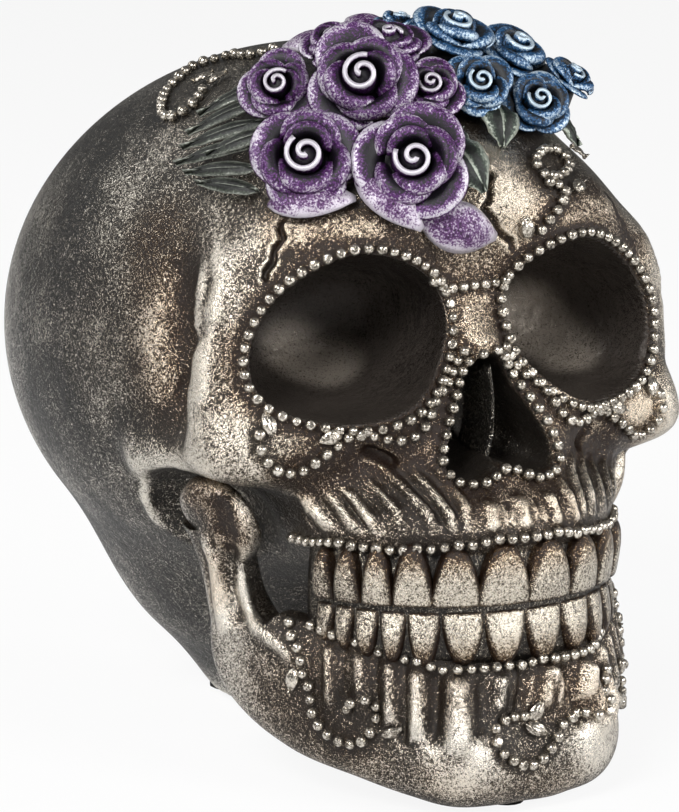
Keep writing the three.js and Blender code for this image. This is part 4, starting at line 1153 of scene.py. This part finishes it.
CROWN = [(274, 52), (257, 57), (243, 58), (231, 58), (220, 61), (209, 64), (195, 69), (181, 80), (169, 92),
    (164, 105), (164, 116), (172, 119), (182, 116), (196, 105), (204, 92)]
BROW = [(541, 152), (553, 152), (565, 161), (566, 170), (556, 178), (544, 177), (536, 170), (534, 160),
    (541, 152)]
BROW_TAIL = [(547, 184), (562, 190), (558, 206), (549, 218), (540, 230)]
BRIDGE = [(432, 280), (443, 288), (456, 288), (470, 286), (486, 284), (504, 280)]

# The scrolls' silver leaves: spot in the picture and heading of the tip in degrees.
SILVER_LEAVES = {
    "cheek": [(330, 437, 200), (268, 425, 110)], "jaw": [(295, 679, 250), (392, 731, 30)],
    "chin": [(535, 711, 60), (535, 729, -20)], "crown": [(205, 81, 200), (219, 81, 60)],
    "brow": [(576, 188, 40), (525, 227, 110), (575, 155, 30)],
}
RIM_MARGIN = 1.0  # how far outside an opening's edge its ring of beads runs


def heading(degrees):
    """The way that a leaf points which is turned by so much in the picture."""
    return RIGHT * math.cos(math.radians(degrees)) + UP * math.sin(math.radians(degrees))


def scroll(name, node, tree, paths, leaves=(), flip=False, ring=False):
    """A piece of bead strings and silver leaves. Paths are spots in the picture or places on the face.
    A ring is closed, and pushed on from the front."""
    bm = bmesh.new()
    lip = bm.verts.layers.float.new("lip")
    settle = lambda spots: (from_front if ring else near_skin)(tree, spots)
    for path in paths:
        spots = seen(tree, path) if len(path[0]) == 2 else path
        bead_string(bm, mirrored(spots) if flip else spots, settle, rng, ring)
    for px, py, turn in leaves:
        at, way = seen(tree, [(px, py)]), heading(turn)
        if flip:
            at, way = mirrored(at), way * [-1, 1, 1]
        at, normal = settle(at)
        leaf(bm, lip, at[0] + normal[0] * 0.2, normal[0], way, 4.6, 2.6, 0.1, True, 0.4)
    bmesh.ops.recalc_face_normals(bm, faces=bm.faces)
    piece(name, bm, bead_silver, [node])


def ring_round(mouth, at, lean, side):
    """A closed line on the face round an opening."""
    edge = np.stack([np.cos(mouth.angle) * mouth.reach, np.sin(mouth.angle) * mouth.reach], -1)
    once = edge[len(edge) // 3:2 * len(edge) // 3:6]
    outline = smooth_line(once, 1.0, closed=True)
    grown = outline * (1 + RIM_MARGIN / np.linalg.norm(outline, axis=1, keepdims=True))
    local = np.stack([grown[:, 0] + mouth.middle[0], np.zeros(len(grown)), grown[:, 1] + mouth.middle[1]], -1)
    return (turned(local, lean, "Z") + at) * [side, 1, 1]


for name, side in (("right", -1), ("left", 1)):
    rim, flip = ring_round(socket_mouth, SOCKET_AT, SOCKET_LEAN, side), side > 0
    scroll("eye_string_" + name, "eye_beads_" + name, skull_tree, [rim], ring=True)
    scroll("cheek_string_" + name, "cheek_beads_" + name, skull_tree, [CHEEK], SILVER_LEAVES["cheek"], flip)
    scroll("jaw_string_" + name, "jaw_beads_" + name, jaw_tree, [JAW_SCROLL], SILVER_LEAVES["jaw"], flip)
scroll("nose_string", "nose_beads", skull_tree, [ring_round(nose_mouth, NOSE_AT, 0, 1)], ring=True)
for name, tree, spots in (("upper_gum", skull_tree, UPPER_GUM), ("lower_gum", jaw_tree, LOWER_GUM)):
    near = seen(tree, spots)
    scroll(name + "_string", name + "_beads", tree, [np.vstack([near, mirrored(near[::-1])])])
scroll("crown_string", "crown_beads", skull_tree, [CROWN], SILVER_LEAVES["crown"])
scroll("brow_string", "brow_beads", skull_tree, [BROW, BROW_TAIL, BRIDGE], SILVER_LEAVES["brow"])
scroll("chin_string", "chin_beads", jaw_tree, [CHIN], SILVER_LEAVES["chin"])

# Roses: name, where it sits as shares of the skull, its middle in the picture, its width, how far it stands
# off the skull, its spin in degrees and how much it turns to the camera.
ROSES = [
    ("purple_rose_1", (-0.15, -0.28, 0.97), (362, 78), 21, 3, 200, 0.7),
    ("purple_rose_2", (-0.27, -0.32, 0.87), (306, 157), 21, 2, 250, 0.7),
    ("purple_rose_3", (-0.12, -0.38, 0.86), (413, 160), 20, 2, 280, 0.7),
    ("purple_rose_4", (-0.26, -0.21, 0.95), (278, 86), 15, 2, 180, 0.6),
    ("purple_rose_5", (-0.02, -0.3, 0.96), (430, 86), 13, 2, 300, 0.5),
    ("purple_rose_6", (-0.04, -0.2, 1.01), (390, 40), 15, 2.2, 120, 0.1),
    ("purple_rose_7", (-0.16, -0.15, 1), (336, 43), 14, 2.2, 150, 0.2),
    ("blue_rose_1", (0.085, -0.31, 0.945), (480, 83), 13.5, 2, 250, 0.6),
    ("blue_rose_2", (0.195, -0.29, 0.915), (538, 101), 13.5, 3, 280, 0.6),
    ("blue_rose_3", (0.11, -0.2, 1), (456, 30), 17, 2.6, 220, 0.2),
    ("blue_rose_4", (0.24, -0.17, 0.97), (516, 50), 17, 3.4, 260, 0.3),
    ("blue_rose_5", (0.31, -0.21, 0.925), (571, 76), 12, 4, 320, 0.2),
    ("blue_rose_6", (0.05, -0.12, 1.02), (400, 22), 10, 2, 90, 0.0),
]
ROSE_LIFT = 0.15  # how far a rose's heart lies above its stand, as a share of its width
for name, share, spot, width, stand, spin, front in ROSES:
    (seat,), (normal,) = near_skin(skull_tree, [place(share)])
    rise = stand + width * ROSE_LIFT
    way, middle = sight(*spot), seat + normal * rise
    middle = EYE + way * ((middle - EYE) @ way)
    facing = unit(normal * (1 - front) + BACK * front)
    bm = rose(middle - facing * rise, facing, width / 2, stand, math.radians(spin), rng)
    look, slot = (blue, "blue_enamel") if name.startswith("blue") else (purple, "purple_enamel")
    piece(name.replace("rose", "bloom"), bm, look, [name])


PAST_EDGE = 770  # how far from the camera a leaf starts whose spot lies beyond the skull's edge


def foliage(name, table, look, nodes, veins):
    """Leaves or smooth petals in one piece: each one's middle in the picture, heading of its tip in degrees,
    length, width, arch and lift."""
    bm = bmesh.new()
    lip = bm.verts.layers.float.new("lip")
    for px, py, turn, length, width, arch, lift in table:
        at = seen(skull_tree, [(px, py)])
        if not len(at):
            at = [EYE + sight(px, py) * PAST_EDGE]
        (at,), (normal,) = near_skin(skull_tree, at)
        up = unit(normal + 0.4 * BACK)
        leaf(bm, lip, at + normal * lift, up, heading(turn), length, width, arch, veins)
    piece(name, bm, look, nodes)


WREATH_LEAVES = [
    (494, 131, 265, 11, 8, 0.16, 1.0), (463, 168, 300, 13, 9, 0.12, 0.6), (573, 116, 300, 10, 6, 0.14, 1.0),
    (580, 100, 330, 10, 6, 0.14, 1.0), (450, 150, 240, 9, 6, 0.12, 0.8), (392, 16, 70, 11, 8, 0.1, 1.0),
]
LOOSE_PETALS = [
    (455, 226, 345, 17, 10, 0.1, 0.6), (388, 203, 318, 17, 8, 0.1, 0.6), (312, 205, 5, 17, 8, 0.1, 0.6),
    (327, 106, 282, 15, 6, 0.1, 1.0), (352, 24, 60, 12, 7, 0.1, 0.5), (366, 36, 80, 12, 9, 0.2, 2.0),
    (408, 62, 10, 12, 8, 0.2, 2.0), (312, 60, 150, 12, 8, 0.2, 1.5),
]
BLUE_PETALS = [
    (426, 48, 160, 13, 10, 0.2, 2.0), (484, 56, 250, 14, 10, 0.2, 2.0), (495, 24, 80, 13, 10, 0.2, 2.0),
    (506, 92, 270, 12, 9, 0.2, 2.0), (545, 62, 300, 14, 10, 0.2, 2.5), (558, 46, 50, 12, 9, 0.2, 2.0),
    (460, 98, 230, 11, 8, 0.2, 1.5),
]
STEMS = [
    (238, 105, 205, 16, 3, 0.06, 1), (232, 122, 200, 18, 3, 0.06, 1), (228, 140, 190, 18, 3, 0.06, 1),
    (222, 158, 185, 18, 3, 0.06, 1), (226, 176, 170, 16, 3, 0.06, 1), (232, 192, 160, 14, 3, 0.06, 1),
    (250, 96, 215, 14, 3, 0.06, 1), (244, 150, 195, 14, 3.5, 0.06, 1.5),
]
all_leaves = ["leaf_1", "leaf_2", "leaf_3", "leaf_4", "leaf_5"]
foliage("wreath_leaves", WREATH_LEAVES, leaf_green, all_leaves, True)
foliage("loose_petals", LOOSE_PETALS, petal_purple, ["petal_1", "petal_2"], False)
foliage("blue_petals", BLUE_PETALS, blue, ["blue_rose_3", "blue_rose_4"], False)
foliage("wreath_stems", STEMS, stem_green, ["leaf_1"], True)

# How far in mm from a string the painted shade reaches, and how much of the metal it takes away there.
SHADE_REACH, SHADE_DEPTH = 3.0, 0.48


def paint_contact_shade(mesh):
    """Painted shade along the strings and under the wreath: the metal is taken off the skin there, so it
    shows dark.
    """
    points = mesh_points(mesh)
    metal = np.zeros(len(points))
    mesh.attributes["metal"].data.foreach_get("value", metal)
    for spots in strings:
        near, d, _ = near_path(points, spots, SHADE_REACH)
        metal[near] -= SHADE_DEPTH * smoothstep(SHADE_REACH, 1.3, d)
    for _, share, _, width, *_ in ROSES:
        d = np.linalg.norm(points - place(share), axis=1)
        metal -= 0.4 * smoothstep(width * 0.85, width * 0.4, d)
    add_masks(mesh, metal=np.maximum(metal, 0.1))


paint_contact_shade(skull_shape)
paint_contact_shade(jaw_shape)
piece("skull_shell", skull_shape, pewter, ["cranium"])
piece("jaw_bone", jaw_shape, jaw_pewter, ["mandible"])
felt_look = felt()
for name in ("felt_pad_1", "felt_pad_2", "felt_pad_3", "chin_pad"):
    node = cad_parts[name]
    node.data.materials.clear()
    node.data.materials.append(felt_look)


# Studio and camera: each softbox's name, place, size and strength in watts, and the grey of the room's light
SOFTBOXES = [
    ("key", (-1.1, -0.9, 1.1), 0.6, 25), ("front", (0.6, -1.5, 0.7), 0.7, 14),
    ("side", (1.4, -0.7, 0.6), 0.6, 8), ("back", (-0.9, 0.9, 1.0), 0.8, 8),
]
ROOM_GREY, FLOOR_GREY = 0.16, 0.86
AIM = (0, 0, 0.08)  # what the softboxes point at


def floor():
    """The pale floor: nearly white to the camera, with the shadows kept, and plain to the object."""
    bm = bmesh.new()
    bmesh.ops.create_grid(bm, x_segments=1, y_segments=1, size=7.0)
    mesh = mesh_from(bm, "floor")
    made, net = material("pale floor")
    plain = net.add("BsdfPrincipled", {"Base Color": (*[FLOOR_GREY] * 3, 1), "Roughness": 0.8})
    white = net.add("Emission", {"Color": (1, 1, 1, 1), "Strength": 1.0})
    camera_ray = net.add("LightPath").outputs["Is Camera Ray"]
    share = net.math("MULTIPLY", camera_ray, 0.9)
    both = net.add("MixShader", {0: share, 1: plain.outputs[0], 2: white.outputs[0]})
    net.add("OutputMaterial", {"Surface": both.outputs[0]})
    mesh.materials.append(made)
    obj = bpy.data.objects.new("floor", mesh)
    bpy.context.scene.collection.objects.link(obj)


def softbox(name, at, size, watts):
    light = bpy.data.lights.new(name, "AREA")
    light.shape, light.size, light.energy = "SQUARE", size, watts
    obj = bpy.data.objects.new(name, light)
    obj.location = at
    obj.rotation_euler = (Vector(AIM) - Vector(at)).to_track_quat("-Z", "Y").to_euler()
    bpy.context.scene.collection.objects.link(obj)


floor()
for box in SOFTBOXES:
    softbox(*box)
world = bpy.data.worlds.new("studio")
world.use_nodes = True
world.node_tree.nodes["Background"].inputs[0].default_value = (*[ROOM_GREY] * 3, 1)
bpy.context.scene.world = world

camera = bpy.data.cameras.new("camera")
camera.lens = FOCAL * camera.sensor_width / PICTURE[1]
camera.shift_x = (PICTURE[0] / 2 - AXIS_AT[0]) / PICTURE[1]
camera.shift_y = (AXIS_AT[1] - PICTURE[1] / 2) / PICTURE[1]
viewer = bpy.data.objects.new("camera", camera)
viewer.location = EYE * MM
viewer.rotation_euler = Vector(-BACK).to_track_quat("-Z", "Y").to_euler()
bpy.context.scene.collection.objects.link(viewer)
bpy.context.scene.camera = viewer
bpy.context.scene.view_settings.view_transform = "Standard"
